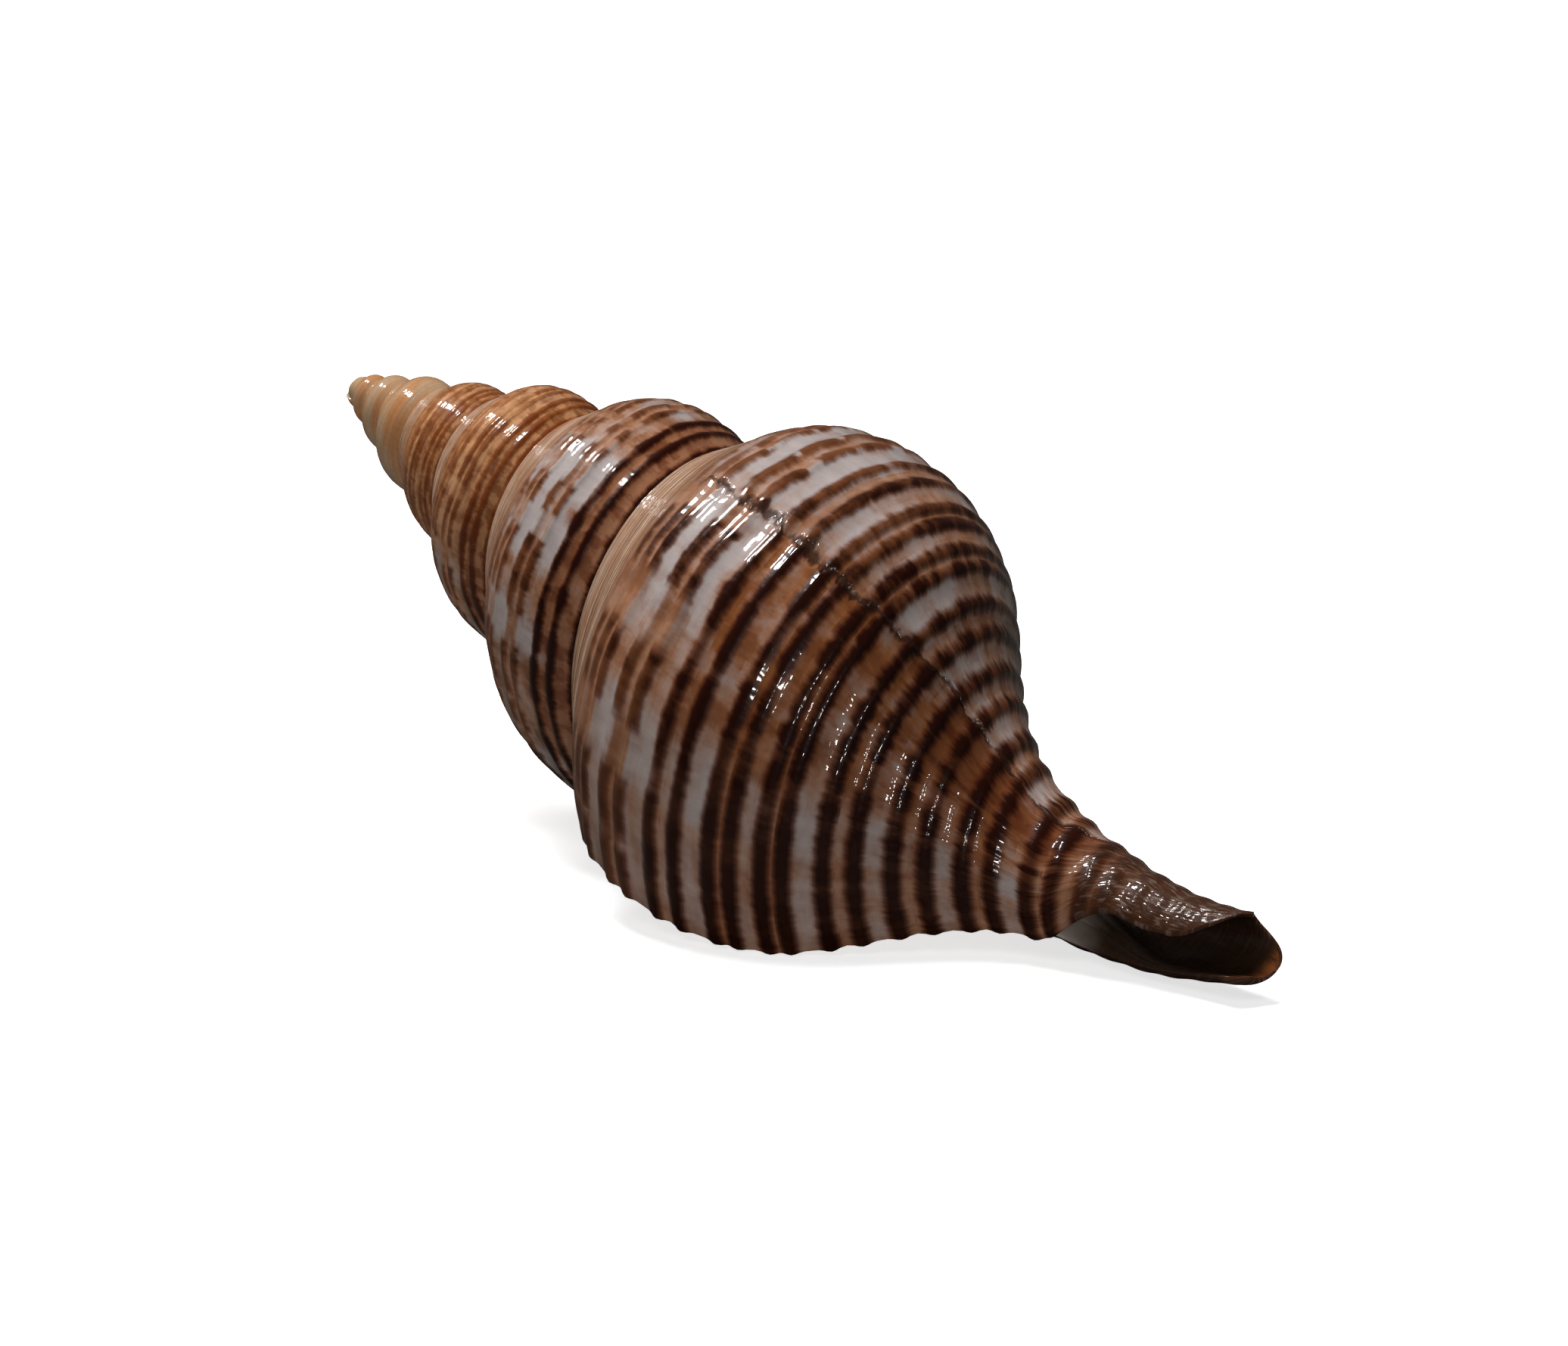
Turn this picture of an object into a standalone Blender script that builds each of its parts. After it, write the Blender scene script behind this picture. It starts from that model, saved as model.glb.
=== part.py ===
"""Spiral-corded tulip shell, a right-handed sea-snail shell lying on its aperture.

The shell grows from the apex by turning about its axis while every length is
multiplied by WHORL_RATIO each turn. Here the axis is Z, the apex is at the
origin, and the canal lies towards +Z until the last step, which lays the
finished shell down in its resting pose. Lengths are in millimetres up to that
step and in metres after it.

T counts turns of growth: 0 is the lip and -TURNS the start of the first whorl.
U is the distance in millimetres along the growing edge, from the suture (0),
over the shoulder and the base, and down to the end of the canal (U_TIP).
"""

import math

import bmesh
import bpy
import numpy as np
from mathutils import Matrix, Vector

# Growth
WHORL_RATIO = 1.493  # growth in one turn
TURNS = 7.0  # whorls below the rounded apex
SUTURE_SLOPE = 0.2886  # radius of the suture per unit of height

# Growing edge at the lip: (radius, height from the apex)
SUTURE_HEIGHT = 56.14
SHOULDER = ((18.93, 59.46), (23.71, 65.83), (25.70, 74.96))
BASE = ((21.24, 88.83), (13.98, 94.26), (7.28, 100.53))
CANAL = ((5.05, 108.9), (3.55, 117.2), (3.05, 125.6))

# Spiral cords: where their crests lie along the growing edge, mostly in pairs
SHOULDER_CORDS = (10.4, 12.9, 14.9, 18.4, 20.7, 24.5, 27.2, 30.7)
BASE_CORDS = (32.6, 35.4, 37.2, 40.6, 43.2, 46.3, 48.9, 51.9, 54.3, 57.5, 59.6)
CORD_HEIGHT = 0.45
CORD_WIDTH = 0.75

# Bends of the axis
CANAL_BEND_START = 93.5
CANAL_BEND_RUN = 29.9
CANAL_BEND_SLOPE = 0.444
CANAL_BEND_TOWARDS = math.radians(-115.0)
APEX_SETTLE_BELOW = 46.4
APEX_SETTLE = 4.02  # the first whorls are packed closer by this much
APEX_LEAN = 1.31
APEX_LEAN_TOWARDS = math.radians(31.0)
APEX_DOME = 0.75

# Whorls that are flatter than the growth alone makes them, about three turns back
WAIST = 0.38
WAIST_AT = -3.05
WAIST_RUN = 0.45

# Where the canal ends round its rim, as turn and U: rounded, with a notch on the back
CANAL_END = (
    (-1.78, 77.9), (-1.40, 77.9), (-1.0, 77.2), (-0.95, 76.9), (-0.86, 77.7), (-0.75, 78.0), (-0.66, 77.5),
    (-0.57, 76.2), (-0.50, 74.8), (-0.43, 74.4), (-0.34, 75.3), (-0.26, 76.9), (-0.20, 77.6), (-0.10, 77.9),
)
FLARE = 0.6  # the side of the columella turns out at the end
FLARE_AT = -0.93

# Wall and hollow
WALL = 1.25
EDGE_WALL = 0.8  # the wall at the lip
EDGE_RUN = 0.03  # the part of a turn in which it thins
DEEP = 0.60  # depth of the hollow behind the lip, in turns
CANAL_DEEP = 0.36  # depth of the hollow where the canal begins
GUTTER_DEEP = 0.78  # at its end the canal is an open gutter
GUTTER_EDGE = -0.92
CANAL_THIN = 0.70  # the wall is thinner by this at the end of the canal
SPIRE_HOLLOW = 3.0  # the hollow goes on up the spire to here, in turns
SLOT = 0.12  # width of the columella's face beside the lip, in turns
CANAL_SLOT = 0.05
SHELF = 0.55  # the callus on the columella stands out beside the neck
SHELF_AT = 62.5
SHELF_RUN = 0.20
PILLAR = ((0.0, 1.0), (6.0, 0.90), (15.0, 0.62), (24.0, 0.42), (32.0, 0.27), (41.0, 0.22), (60.0, 0.20))
FOLDS = (17.5, 21.0)  # oblique folds on the columella, below the inner suture
FOLD_HEIGHT = 0.7

# Resting pose: the direction that is up, seen from the shell's own axis
UP_AZIMUTH = math.radians(-114.34)
UP_TILT = math.radians(-17.35)

# Mesh
COLUMNS = 36  # columns in one turn
FINE_TURNS = 1  # whorls of the spire that carry their cords
COARSE_ROWS = 6  # rows on the whorls above them
CANAL_ROWS = 10
FLOOR_STEPS = (0.03, 0.10, 0.17, 0.25, 0.30, 0.34, 0.38, 0.43, 0.52, 0.60, 0.66, 0.72, 0.78, 0.85, 0.92, 1.0)
ROOF_STEPS = (
    0.04, 0.09, 0.15, 0.22, 0.29, 0.36, 0.43, 0.49, 0.55, 0.61, 0.67, 0.73, 0.78, 0.83, 0.88, 0.94, 1.0,
)
SPIRE_FLOOR_ROWS = 3  # rows of the hollow that go on up the spire
SPIRE_ROOF_ROWS = 8
SPIRE_COLUMNS = 20


def natural_spline(knots, points):
    """Second derivatives of the natural cubic through the points."""
    count = len(knots)
    matrix = np.eye(count)
    right = np.zeros((count, 2))
    for i in range(1, count - 1):
        before = knots[i] - knots[i - 1]
        after = knots[i + 1] - knots[i]
        matrix[i, i - 1 : i + 2] = (before, 2 * (before + after), after)
        right[i] = 6 * ((points[i + 1] - points[i]) / after - (points[i] - points[i - 1]) / before)
    return np.linalg.solve(matrix, right)


SUTURE = (SUTURE_HEIGHT * SUTURE_SLOPE, SUTURE_HEIGHT)
NEXT_SUTURE = (SUTURE[0] * WHORL_RATIO, SUTURE[1] * WHORL_RATIO)
EDGE_POINTS = np.array([SUTURE, *SHOULDER, NEXT_SUTURE, *BASE, *CANAL])
EDGE_KNOTS = np.concatenate([[0.0], np.cumsum(np.hypot(*np.diff(EDGE_POINTS, axis=0).T))])
EDGE_BEND = natural_spline(EDGE_KNOTS, EDGE_POINTS)
U_SUTURE = float(EDGE_KNOTS[4])
U_TIP = float(EDGE_KNOTS[-1])
CORDS = SHOULDER_CORDS + BASE_CORDS
U_NECK = 58.0  # below this the whorl has drawn in to the canal


def edge_point(u):
    """Position and outward normal of the growing edge at the lip."""
    i = int(np.clip(np.searchsorted(EDGE_KNOTS, u) - 1, 0, len(EDGE_KNOTS) - 2))
    step = EDGE_KNOTS[i + 1] - EDGE_KNOTS[i]
    a = (EDGE_KNOTS[i + 1] - u) / step
    b = 1 - a
    bend = ((a**3 - a) * EDGE_BEND[i] + (b**3 - b) * EDGE_BEND[i + 1]) * step**2 / 6
    point = a * EDGE_POINTS[i] + b * EDGE_POINTS[i + 1] + bend
    turn = ((3 * b**2 - 1) * EDGE_BEND[i + 1] - (3 * a**2 - 1) * EDGE_BEND[i]) * step / 6
    along = (EDGE_POINTS[i + 1] - EDGE_POINTS[i]) / step + turn
    along /= np.linalg.norm(along)
    return point, np.array([along[1], -along[0]])


def smooth(x):
    x = min(max(x, 0.0), 1.0)
    return x * x * (3 - 2 * x)


def smooth_sum(x):
    """Integral of smooth(x)."""
    y = min(max(x, 0.0), 1.0)
    return y**3 - y**4 / 2 + max(x - 1, 0.0)


def growth(t, u):
    """Size at t against the lip. Below the inner suture it fades out, so the canal keeps its place."""
    return WHORL_RATIO ** (t * (1 - smooth((u - U_SUTURE) / (U_TIP - U_SUTURE))))


def smoothed(table):
    """A smooth curve through the points of a table, level at both ends."""
    at = np.array([point[0] for point in table])
    value = np.array([point[1] for point in table])
    slope = np.gradient(value, at)
    slope[0] = slope[-1] = 0.0

    def curve(x):
        x = min(max(x, at[0]), at[-1])
        i = min(int(np.searchsorted(at, x, side="right")) - 1, len(at) - 2)
        run = at[i + 1] - at[i]
        b = (x - at[i]) / run
        rise = (3 * b**2 - 2 * b**3) * (value[i + 1] - value[i])
        return value[i] + rise + run * ((b**3 - 2 * b**2 + b) * slope[i] + (b**3 - b**2) * slope[i + 1])

    return curve


CANAL_RIM = smoothed(CANAL_END)


def shape(t, u):
    """Position and normal on the growing edge, with the waist and the rounded end of the canal."""
    if u > U_NECK:
        u -= (U_TIP - CANAL_RIM(t)) * ((u - U_NECK) / (U_TIP - U_NECK)) ** 1.5
    point, normal = edge_point(u)
    if u < U_SUTURE:
        chord = np.array(SUTURE) + (np.array(NEXT_SUTURE) - SUTURE) * u / U_SUTURE
        point = point - (point - chord) * WAIST * math.exp(-(((t - WAIST_AT) / WAIST_RUN) ** 2))
    return u, point, normal


def cord(t, u):
    """Height of the cords. They fade out before a suture, so that the whorls meet there."""
    if t < -1 - FINE_TURNS:
        return 0.0
    height = CORD_HEIGHT * sum(math.exp(-(((u - crest) / CORD_WIDTH) ** 2)) for crest in CORDS)
    height *= smooth(u / 6.0) * smooth((t + 1 + FINE_TURNS) * COLUMNS)
    if u > U_SUTURE - 1.6:
        height *= smooth((t + 1 - SLOT) / 0.04)
    return height


def lip_end(u):
    """Where the lip ends: straight down the whorl, then drawn back along the canal."""
    back = -0.145 * smooth((u - U_NECK + 0.5) / 8.5) + 0.02 * smooth((u - 65.0) / 4.5)
    return back - 0.22 * smooth((u - 71.5) / 9.0)


def gutter(u):
    """0 at the neck, and 1 where the canal has opened to a gutter."""
    return smooth((u - 64.5) / 7.5)


def depth(u):
    closed = DEEP + (CANAL_DEEP - DEEP) * smooth((u - U_SUTURE - 12.0) / 20.0)
    return closed + (GUTTER_DEEP - closed) * gutter(u)


def slot(u):
    return SLOT + (CANAL_SLOT - SLOT) * smooth((u - 50.0) / 8.0)


def wall_at(u):
    return WALL - CANAL_THIN * smooth((u - U_NECK) / (U_TIP - U_NECK))


def pillar(t, u):
    """The columella is slimmer than the growing edge. This widens back to the base over its face."""
    below = u - U_SUTURE
    if below <= 0 or t > -1 + slot(u):
        return 1.0
    share = float(np.interp(below, [p[0] for p in PILLAR], [p[1] for p in PILLAR]))
    callus = SHELF * math.exp(-(((u - SHELF_AT) / 4.5) ** 2))
    share += callus * smooth(1 + (t + 1) / SHELF_RUN)
    return share + (1 - share) * smooth((t + 1) / slot(u))


def gutter_turn(t, u):
    """Where the floor of the gutter lies on the far wall."""
    return GUTTER_EDGE + (GUTTER_DEEP + GUTTER_EDGE) * (t + 1) / depth(u)


def far_side(t, u):
    """The open gutter: its floor lies on the far wall, up to the rounded edge beside the slot."""
    edge = (t + 1) / slot(u)
    if edge < 0:
        turn = gutter_turn(t, u)
        share = 0.0
    else:
        turn = GUTTER_EDGE + (slot(u) - 1 - GUTTER_EDGE) * edge - 0.03 * math.sin(math.pi * edge)
        share = (1 - math.cos(math.pi * edge)) / 2
    point, normal = edge_point(u)
    size = growth(turn, u)
    wall = wall_at(u) * (1 - share)
    return place(turn, size * point[0] - wall * normal[0], size * point[1] - wall * normal[1])


def fold(t, u):
    """Low oblique folds on the columella, fading out towards the mouth."""
    height = 0.0
    for place in FOLDS:
        offset = (u - U_SUTURE - place - 5.0 * (t + 1)) / 1.1
        height += FOLD_HEIGHT * math.exp(-offset * offset)
    return height * (1 - smooth((t + 1) / (0.6 * SLOT))) * (1 - smooth((u - U_NECK) / 4.0))


def place(t, radius, height):
    """Turns a point of the growing edge to t, then bends the axis."""
    run = CANAL_BEND_SLOPE * CANAL_BEND_RUN * smooth_sum((height - CANAL_BEND_START) / CANAL_BEND_RUN)
    near = max((APEX_SETTLE_BELOW - height) / APEX_SETTLE_BELOW, 0.0) ** 2
    angle = 2 * math.pi * t
    x = radius * math.cos(angle)
    y = radius * math.sin(angle)
    x += run * math.cos(CANAL_BEND_TOWARDS) + APEX_LEAN * near * math.cos(APEX_LEAN_TOWARDS)
    y += run * math.sin(CANAL_BEND_TOWARDS) + APEX_LEAN * near * math.sin(APEX_LEAN_TOWARDS)
    return Vector((x, y, height + APEX_SETTLE * near))


def outside(t, u):
    """The outer side, and from t = -1 down the side of the columella and of the whorl before."""
    u, point, normal = shape(t, u)
    size = growth(t, u)
    raised = size * cord(t, u)
    radius = (size * point[0] + raised * normal[0]) * pillar(t, u)
    if u > U_SUTURE:
        radius += fold(t, u)
    spot = place(t, radius, size * point[1] + raised * normal[1])
    if u > U_NECK:
        if t < -1 + slot(u):
            spot = spot.lerp(far_side(t, u), gutter(u))
        out = Vector((math.cos(2 * math.pi * FLARE_AT), math.sin(2 * math.pi * FLARE_AT), 0.0))
        spot += out * FLARE * smooth((u - 66.0) / 7.0) * math.exp(-(((t - FLARE_AT) / 0.16) ** 2))
    return spot


def inside(t, u):
    """The inner side of the wall, which is thinner in the whorls above."""
    u, point, normal = shape(t, u)
    size = growth(t, u)
    thin = min(EDGE_WALL, wall_at(u))
    wall = thin + (wall_at(u) - thin) * smooth((lip_end(u) - t) / EDGE_RUN)
    wall *= WHORL_RATIO ** min(t + DEEP, 0.0)
    return place(t, size * point[0] * pillar(t, u) - wall * normal[0], size * point[1] - wall * normal[1])


def sheet(bm, columns, rows, t_of, side):
    """A grid with its columns along the growth and its rows along the growing edge."""
    made = bmesh.ops.create_grid(bm, x_segments=columns, y_segments=len(rows) - 1, size=1.0)
    table = {}
    for vert in made["verts"]:
        i = round((vert.co.x + 1) / 2 * columns)
        j = round((vert.co.y + 1) / 2 * (len(rows) - 1))
        vert.co = side(t_of(i / columns, rows[j]), rows[j])
        table[i, j] = vert
    return table


def column(table, i, rows, first=0):
    return [(rows[j], table[i, j]) for j in range(first, len(rows))]


def row(table, j, count):
    return [(i, table[i, j]) for i in range(count + 1)]


def loft(bm, left, right):
    """Joins two chains of (u, vertex) whose steps differ, always moving on where u is smaller."""
    i = 0
    j = 0
    while i < len(left) - 1 or j < len(right) - 1:
        more_left = i < len(left) - 1
        more_right = j < len(right) - 1
        next_left = left[i + 1][0] if more_left else math.inf
        next_right = right[j + 1][0] if more_right else math.inf
        if more_left and more_right and abs(next_left - next_right) < 0.4 * min(
            next_left - left[i][0], next_right - right[j][0]
        ):
            bm.faces.new((left[i][1], left[i + 1][1], right[j + 1][1], right[j][1]))
            i += 1
            j += 1
        elif next_left <= next_right:
            bm.faces.new((left[i][1], left[i + 1][1], right[j][1]))
            i += 1
        else:
            bm.faces.new((left[i][1], right[j + 1][1], right[j][1]))
            j += 1


def edge_rows():
    """Rows on the last whorl: crests and grooves, then wider steps down the canal."""
    crests = [U_SUTURE if crest == SHOULDER_CORDS[-1] else crest for crest in CORDS]
    rows = [0.0, 2.5, 5.5, 8.5]
    for crest, following in zip(crests, crests[1:], strict=False):
        rows += [crest, (crest + following) / 2]
    rows.append(crests[-1])
    rows += list(np.linspace(crests[-1], U_TIP, CANAL_ROWS + 1)[1:])
    return [float(u) for u in rows]


def build_shell():
    bm = bmesh.new()
    rows = edge_rows()
    suture = rows.index(U_SUTURE)
    spire_rows = rows[: suture + 1]
    coarse_rows = [U_SUTURE * k / COARSE_ROWS for k in range(COARSE_ROWS + 1)]
    floor_rows = [float(u) for u in U_SUTURE + np.array(FLOOR_STEPS) * (U_TIP - U_SUTURE)]
    roof_rows = [float(u) for u in np.array(ROOF_STEPS) * U_TIP]
    step = 1 / COLUMNS

    # Outer side: the last whorl, the whorls that carry their cords, and the first whorls
    body = sheet(bm, COLUMNS, rows, lambda a, u: -1 + (1 + lip_end(u)) * a, outside)
    sheet(bm, COLUMNS * FINE_TURNS, spire_rows, lambda a, u: -1 - FINE_TURNS * (1 - a), outside)
    late = -1 - FINE_TURNS
    count = round(COLUMNS * (TURNS + late)) - 1
    first = sheet(bm, count, coarse_rows, lambda a, u: -TURNS + count * step * a, outside)
    fine = {(0, j): bm.verts.new(outside(late, u)) for j, u in enumerate(spire_rows)}
    loft(bm, column(first, count, coarse_rows), column(fine, 0, spire_rows))

    # Inner side: the whorl before and the columella, then the wall behind the lip
    deep = round(COLUMNS * DEEP)
    floor = sheet(bm, deep, floor_rows, lambda a, u: -1 - depth(u) + (depth(u) - step) * a, outside)
    loft(bm, column(floor, deep, floor_rows), column(body, 0, rows, suture + 1))
    roof = sheet(bm, deep, roof_rows, lambda a, u: -depth(u) + (depth(u) + lip_end(u)) * a, inside)
    loft(bm, column(body, COLUMNS, rows, 1), column(roof, deep, roof_rows))
    loft(bm, row(roof, 0, deep), row(floor, 0, deep))

    # The end of the canal: the outer side is joined to the floor of the gutter, then to the roof
    outer = []
    for k in range(COLUMNS + 1):
        outer.append((-1 + (1 + lip_end(U_TIP)) * k * step, body[k, len(rows) - 1]))
    inner = []
    for k in range(deep, -1, -1):
        t = -1 - depth(U_TIP) + (depth(U_TIP) - step) * k / deep
        inner.append((gutter_turn(t, U_TIP), floor[k, len(floor_rows) - 1]))
    for k in range(deep + 1):
        t = -depth(U_TIP) + (depth(U_TIP) + lip_end(U_TIP)) * k / deep
        inner.append((t + 0.001, roof[k, len(roof_rows) - 1]))
    loft(bm, outer, inner)

    roof_cut = SPIRE_ROOF_ROWS - 1
    floor_cut = SPIRE_FLOOR_ROWS - 1
    loft(bm, column(roof, 0, roof_rows, roof_cut), column(floor, 0, floor_rows, floor_cut))

    # The hollow of the spire
    back = round(SPIRE_COLUMNS * (SPIRE_HOLLOW - DEEP))
    far = SPIRE_HOLLOW
    roof_rows = roof_rows[:SPIRE_ROOF_ROWS]
    floor_rows = floor_rows[:SPIRE_FLOOR_ROWS]
    roof = sheet(bm, back, roof_rows, lambda a, u: -far + (far - depth(u)) * a, inside)
    floor = sheet(bm, back, floor_rows, lambda a, u: -1 - far + (far - depth(u)) * a, outside)
    loft(bm, row(roof, 0, back), row(floor, 0, back))
    loft(bm, row(roof, roof_cut, back), row(floor, floor_cut, back))
    loft(bm, column(roof, 0, roof_rows), column(floor, 0, floor_rows))

    # The sutures close, and so do the apex and the corner of the lip
    bmesh.ops.remove_doubles(bm, verts=bm.verts, dist=0.004)
    rim = [edge for edge in bm.edges if edge.is_boundary]
    filled = bmesh.ops.holes_fill(bm, edges=rim, sides=0)["faces"]
    dome = min(filled, key=lambda face: face.calc_center_median().z)
    peak = bmesh.ops.poke(bm, faces=[dome])["verts"][0]
    peak.co.z -= APEX_DOME
    bmesh.ops.recalc_face_normals(bm, faces=bm.faces)
    return bm


def lay_down(bm):
    """Turns the resting direction up, the canal towards +X, and sets the shell on the ground."""
    up = Vector((math.cos(UP_AZIMUTH), math.sin(UP_AZIMUTH), 0.0)) * math.cos(UP_TILT)
    up.z = math.sin(UP_TILT)
    ahead = Vector((0.0, 0.0, 1.0))
    ahead = (ahead - up * ahead.dot(up)).normalized()
    turn = Matrix((ahead, up.cross(ahead), up)).to_4x4()
    bmesh.ops.transform(bm, matrix=Matrix.Scale(0.001, 4) @ turn, verts=bm.verts)
    low = [min(vert.co[k] for vert in bm.verts) for k in range(3)]
    high = [max(vert.co[k] for vert in bm.verts) for k in range(3)]
    shift = Vector((-(low[0] + high[0]) / 2, -(low[1] + high[1]) / 2, -low[2]))
    bmesh.ops.translate(bm, vec=shift, verts=bm.verts)


def shell_material():
    material = bpy.data.materials.new("corded_shell")
    material.use_nodes = True
    shader = material.node_tree.nodes["Principled BSDF"]
    shader.inputs["Base Color"].default_value = (0.20, 0.085, 0.04, 1.0)
    shader.inputs["Roughness"].default_value = 0.28
    shader.inputs["Coat Weight"].default_value = 0.4
    return material


def main():
    for obj in list(bpy.data.objects):
        bpy.data.objects.remove(obj)
    group = bpy.data.collections.new("tulip_shell")
    bpy.context.scene.collection.children.link(group)
    bm = build_shell()
    lay_down(bm)
    mesh = bpy.data.meshes.new("shell")
    bm.to_mesh(mesh)
    bm.free()
    for face in mesh.polygons:
        face.use_smooth = True
    mesh.materials.append(shell_material())
    group.objects.link(bpy.data.objects.new("shell", mesh))


main()
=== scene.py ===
"""Looks of the spiral-corded tulip shell: its carved surface, its colours and a plain studio.

The shell is one piece. It is worked out in millimetres about its own axis, as its solid is, and
then laid down in metres. T counts turns of growth: 0 is the lip and every earlier turn is one
less. U is the distance in millimetres along the growing edge, from the suture (0) over the
shoulder and the base down to the end of the canal (U_TIP). A pair named ROWS, TOP or FOOT gives
the U where something begins or ends, and how many millimetres that takes.
"""

import math

import bmesh
import bpy
import numpy as np
from mathutils import Matrix, Vector


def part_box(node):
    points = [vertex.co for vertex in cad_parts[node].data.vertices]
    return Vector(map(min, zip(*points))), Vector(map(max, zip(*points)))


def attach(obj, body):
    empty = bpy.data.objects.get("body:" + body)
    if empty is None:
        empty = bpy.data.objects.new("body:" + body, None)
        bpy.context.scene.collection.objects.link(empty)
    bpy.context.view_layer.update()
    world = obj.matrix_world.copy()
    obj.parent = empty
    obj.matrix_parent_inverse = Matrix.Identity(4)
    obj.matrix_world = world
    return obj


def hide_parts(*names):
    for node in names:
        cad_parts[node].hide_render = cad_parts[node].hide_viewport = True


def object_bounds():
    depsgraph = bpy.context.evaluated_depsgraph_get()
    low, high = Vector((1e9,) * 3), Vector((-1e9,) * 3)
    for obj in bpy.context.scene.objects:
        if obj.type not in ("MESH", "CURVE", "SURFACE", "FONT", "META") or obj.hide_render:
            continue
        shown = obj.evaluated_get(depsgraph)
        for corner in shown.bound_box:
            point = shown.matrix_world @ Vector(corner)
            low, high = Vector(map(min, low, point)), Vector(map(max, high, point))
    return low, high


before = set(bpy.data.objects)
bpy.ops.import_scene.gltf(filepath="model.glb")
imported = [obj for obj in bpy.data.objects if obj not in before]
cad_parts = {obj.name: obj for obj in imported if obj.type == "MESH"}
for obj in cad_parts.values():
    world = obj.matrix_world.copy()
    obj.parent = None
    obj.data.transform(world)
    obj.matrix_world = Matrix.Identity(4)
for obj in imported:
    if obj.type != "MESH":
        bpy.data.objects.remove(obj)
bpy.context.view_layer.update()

# ------------ growth, as in the solid
WHORL_RATIO = 1.493  # growth in one turn
TURNS = 7
SUTURE_SLOPE = 0.2886  # radius of the suture per unit of height

# Growing edge at the lip: radius and height from the apex
SUTURE_HEIGHT = 56.14
SHOULDER = ((18.93, 59.46), (23.71, 65.83), (25.70, 74.96))
BASE = ((21.24, 88.83), (13.98, 94.26), (7.28, 100.53))
CANAL = ((5.05, 108.9), (3.55, 117.2), (3.05, 125.6))
U_NECK = 58.0  # below this the whorl has drawn in to the canal

# Bends of the axis
CANAL_BEND_START = 93.5
CANAL_BEND_RUN = 29.9
CANAL_BEND_SLOPE = 0.444
CANAL_BEND_TOWARDS = math.radians(-115.0)
APEX_SETTLE_BELOW = 46.4
APEX_SETTLE = 4.02  # the first whorls are packed closer by this much
APEX_LEAN = 1.31
APEX_LEAN_TOWARDS = math.radians(31.0)
APEX_DOME = 0.75

# Whorls that are flatter than the growth alone makes them, about three turns back
WAIST = 0.38
WAIST_AT = -3.05
WAIST_RUN = 0.45

# Where the canal ends round its rim, as turn and U: rounded, with a notch on the back
CANAL_END = (
    (-1.78, 77.9), (-1.40, 77.9), (-1.0, 77.2), (-0.95, 76.9), (-0.86, 77.7), (-0.75, 78.0),
    (-0.66, 77.5), (-0.57, 76.2), (-0.50, 74.8), (-0.43, 74.4), (-0.34, 75.3), (-0.26, 76.9),
    (-0.20, 77.6), (-0.10, 77.9),
)
RIM_PULL = 1.5  # how sharply the rows of the canal close up towards its rim
FLARE = 0.6  # the side of the columella turns out at the end
FLARE_AT = -0.93
FLARE_RUN = 0.16
FLARE_ROWS = (66.0, 7.0)

# The lip is drawn back along the canal: turns, from which U, over how many millimetres
LIP_BACK = ((-0.145, U_NECK - 0.5, 8.5), (0.02, 65.0, 4.5), (-0.22, 71.5, 9.0))

# Wall and hollow
WALL = 1.25
EDGE_WALL = 0.8  # the wall at the lip
EDGE_RUN = 0.03  # the part of a turn in which it thins
CANAL_THIN = 0.70  # the wall is thinner by this at the end of the canal
DEEP = 0.60  # depth of the hollow behind the lip, in turns
CANAL_DEEP = 0.36  # depth of the hollow where the canal begins
DEEP_ROWS = (12.0, 20.0)  # below the inner suture
GUTTER_DEEP = 0.78  # at its end the canal is an open gutter
GUTTER_ROWS = (64.5, 7.5)
GUTTER_EDGE = -0.92
GUTTER_SWELL = 0.03
SLOT = 0.12  # width of the columella's face beside the lip, in turns
CANAL_SLOT = 0.05
SLOT_ROWS = (50.0, 8.0)
SHELF = 0.55  # the callus on the columella stands out beside the neck
SHELF_AT = 62.5
SHELF_WIDTH = 4.5
SHELF_RUN = 0.20
PILLAR = (
    (0.0, 1.0), (6.0, 0.90), (15.0, 0.62), (24.0, 0.42), (32.0, 0.27), (41.0, 0.22), (60.0, 0.20),
)
FOLDS = (17.5, 21.0)  # oblique folds on the columella, below the inner suture
FOLD_HEIGHT = 0.7
FOLD_WIDTH = 1.1
FOLD_SLANT = 5.0
FOLD_FACE = 0.6  # they fade out over this share of the columella's face

# Resting pose: the direction that is up, seen from the shell's own axis
UP_AZIMUTH = math.radians(-114.34)
UP_TILT = math.radians(-17.35)

# ------------ carving of the surface
# Crests of the spiral cords along the growing edge, each with its height
CORDS = (
    (10.4, 0.20), (12.9, 0.30), (14.9, 0.42), (18.4, 0.45), (20.7, 0.45), (24.5, 0.45),
    (27.2, 0.45), (30.7, 0.45), (32.6, 0.42), (35.4, 0.45), (37.2, 0.45), (40.6, 0.45),
    (43.2, 0.45), (46.3, 0.45), (48.9, 0.45), (51.9, 0.45), (54.3, 0.42), (57.5, 0.42),
    (59.6, 0.38), (62.3, 0.32), (64.1, 0.28), (66.5, 0.20), (68.3, 0.17), (70.6, 0.15),
    (72.6, 0.13), (74.8, 0.10), (76.8, 0.08),
)
CORD_WIDTH = 0.75
CORD_REACH = 3.0  # nothing of a cord is left this far from its crest
CORDS_RISE = 6.0  # the cords rise to their full height this far from the suture
CARVING_STARTS = (-4.9, 1.5)  # the first whorls are smooth
BAND_SWELL = 0.10  # the pale bands between the cords are a little convex
BAND_SHARE = 0.3  # width of the swell, as a share of the band
BAND_REACH = 2.0
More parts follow.
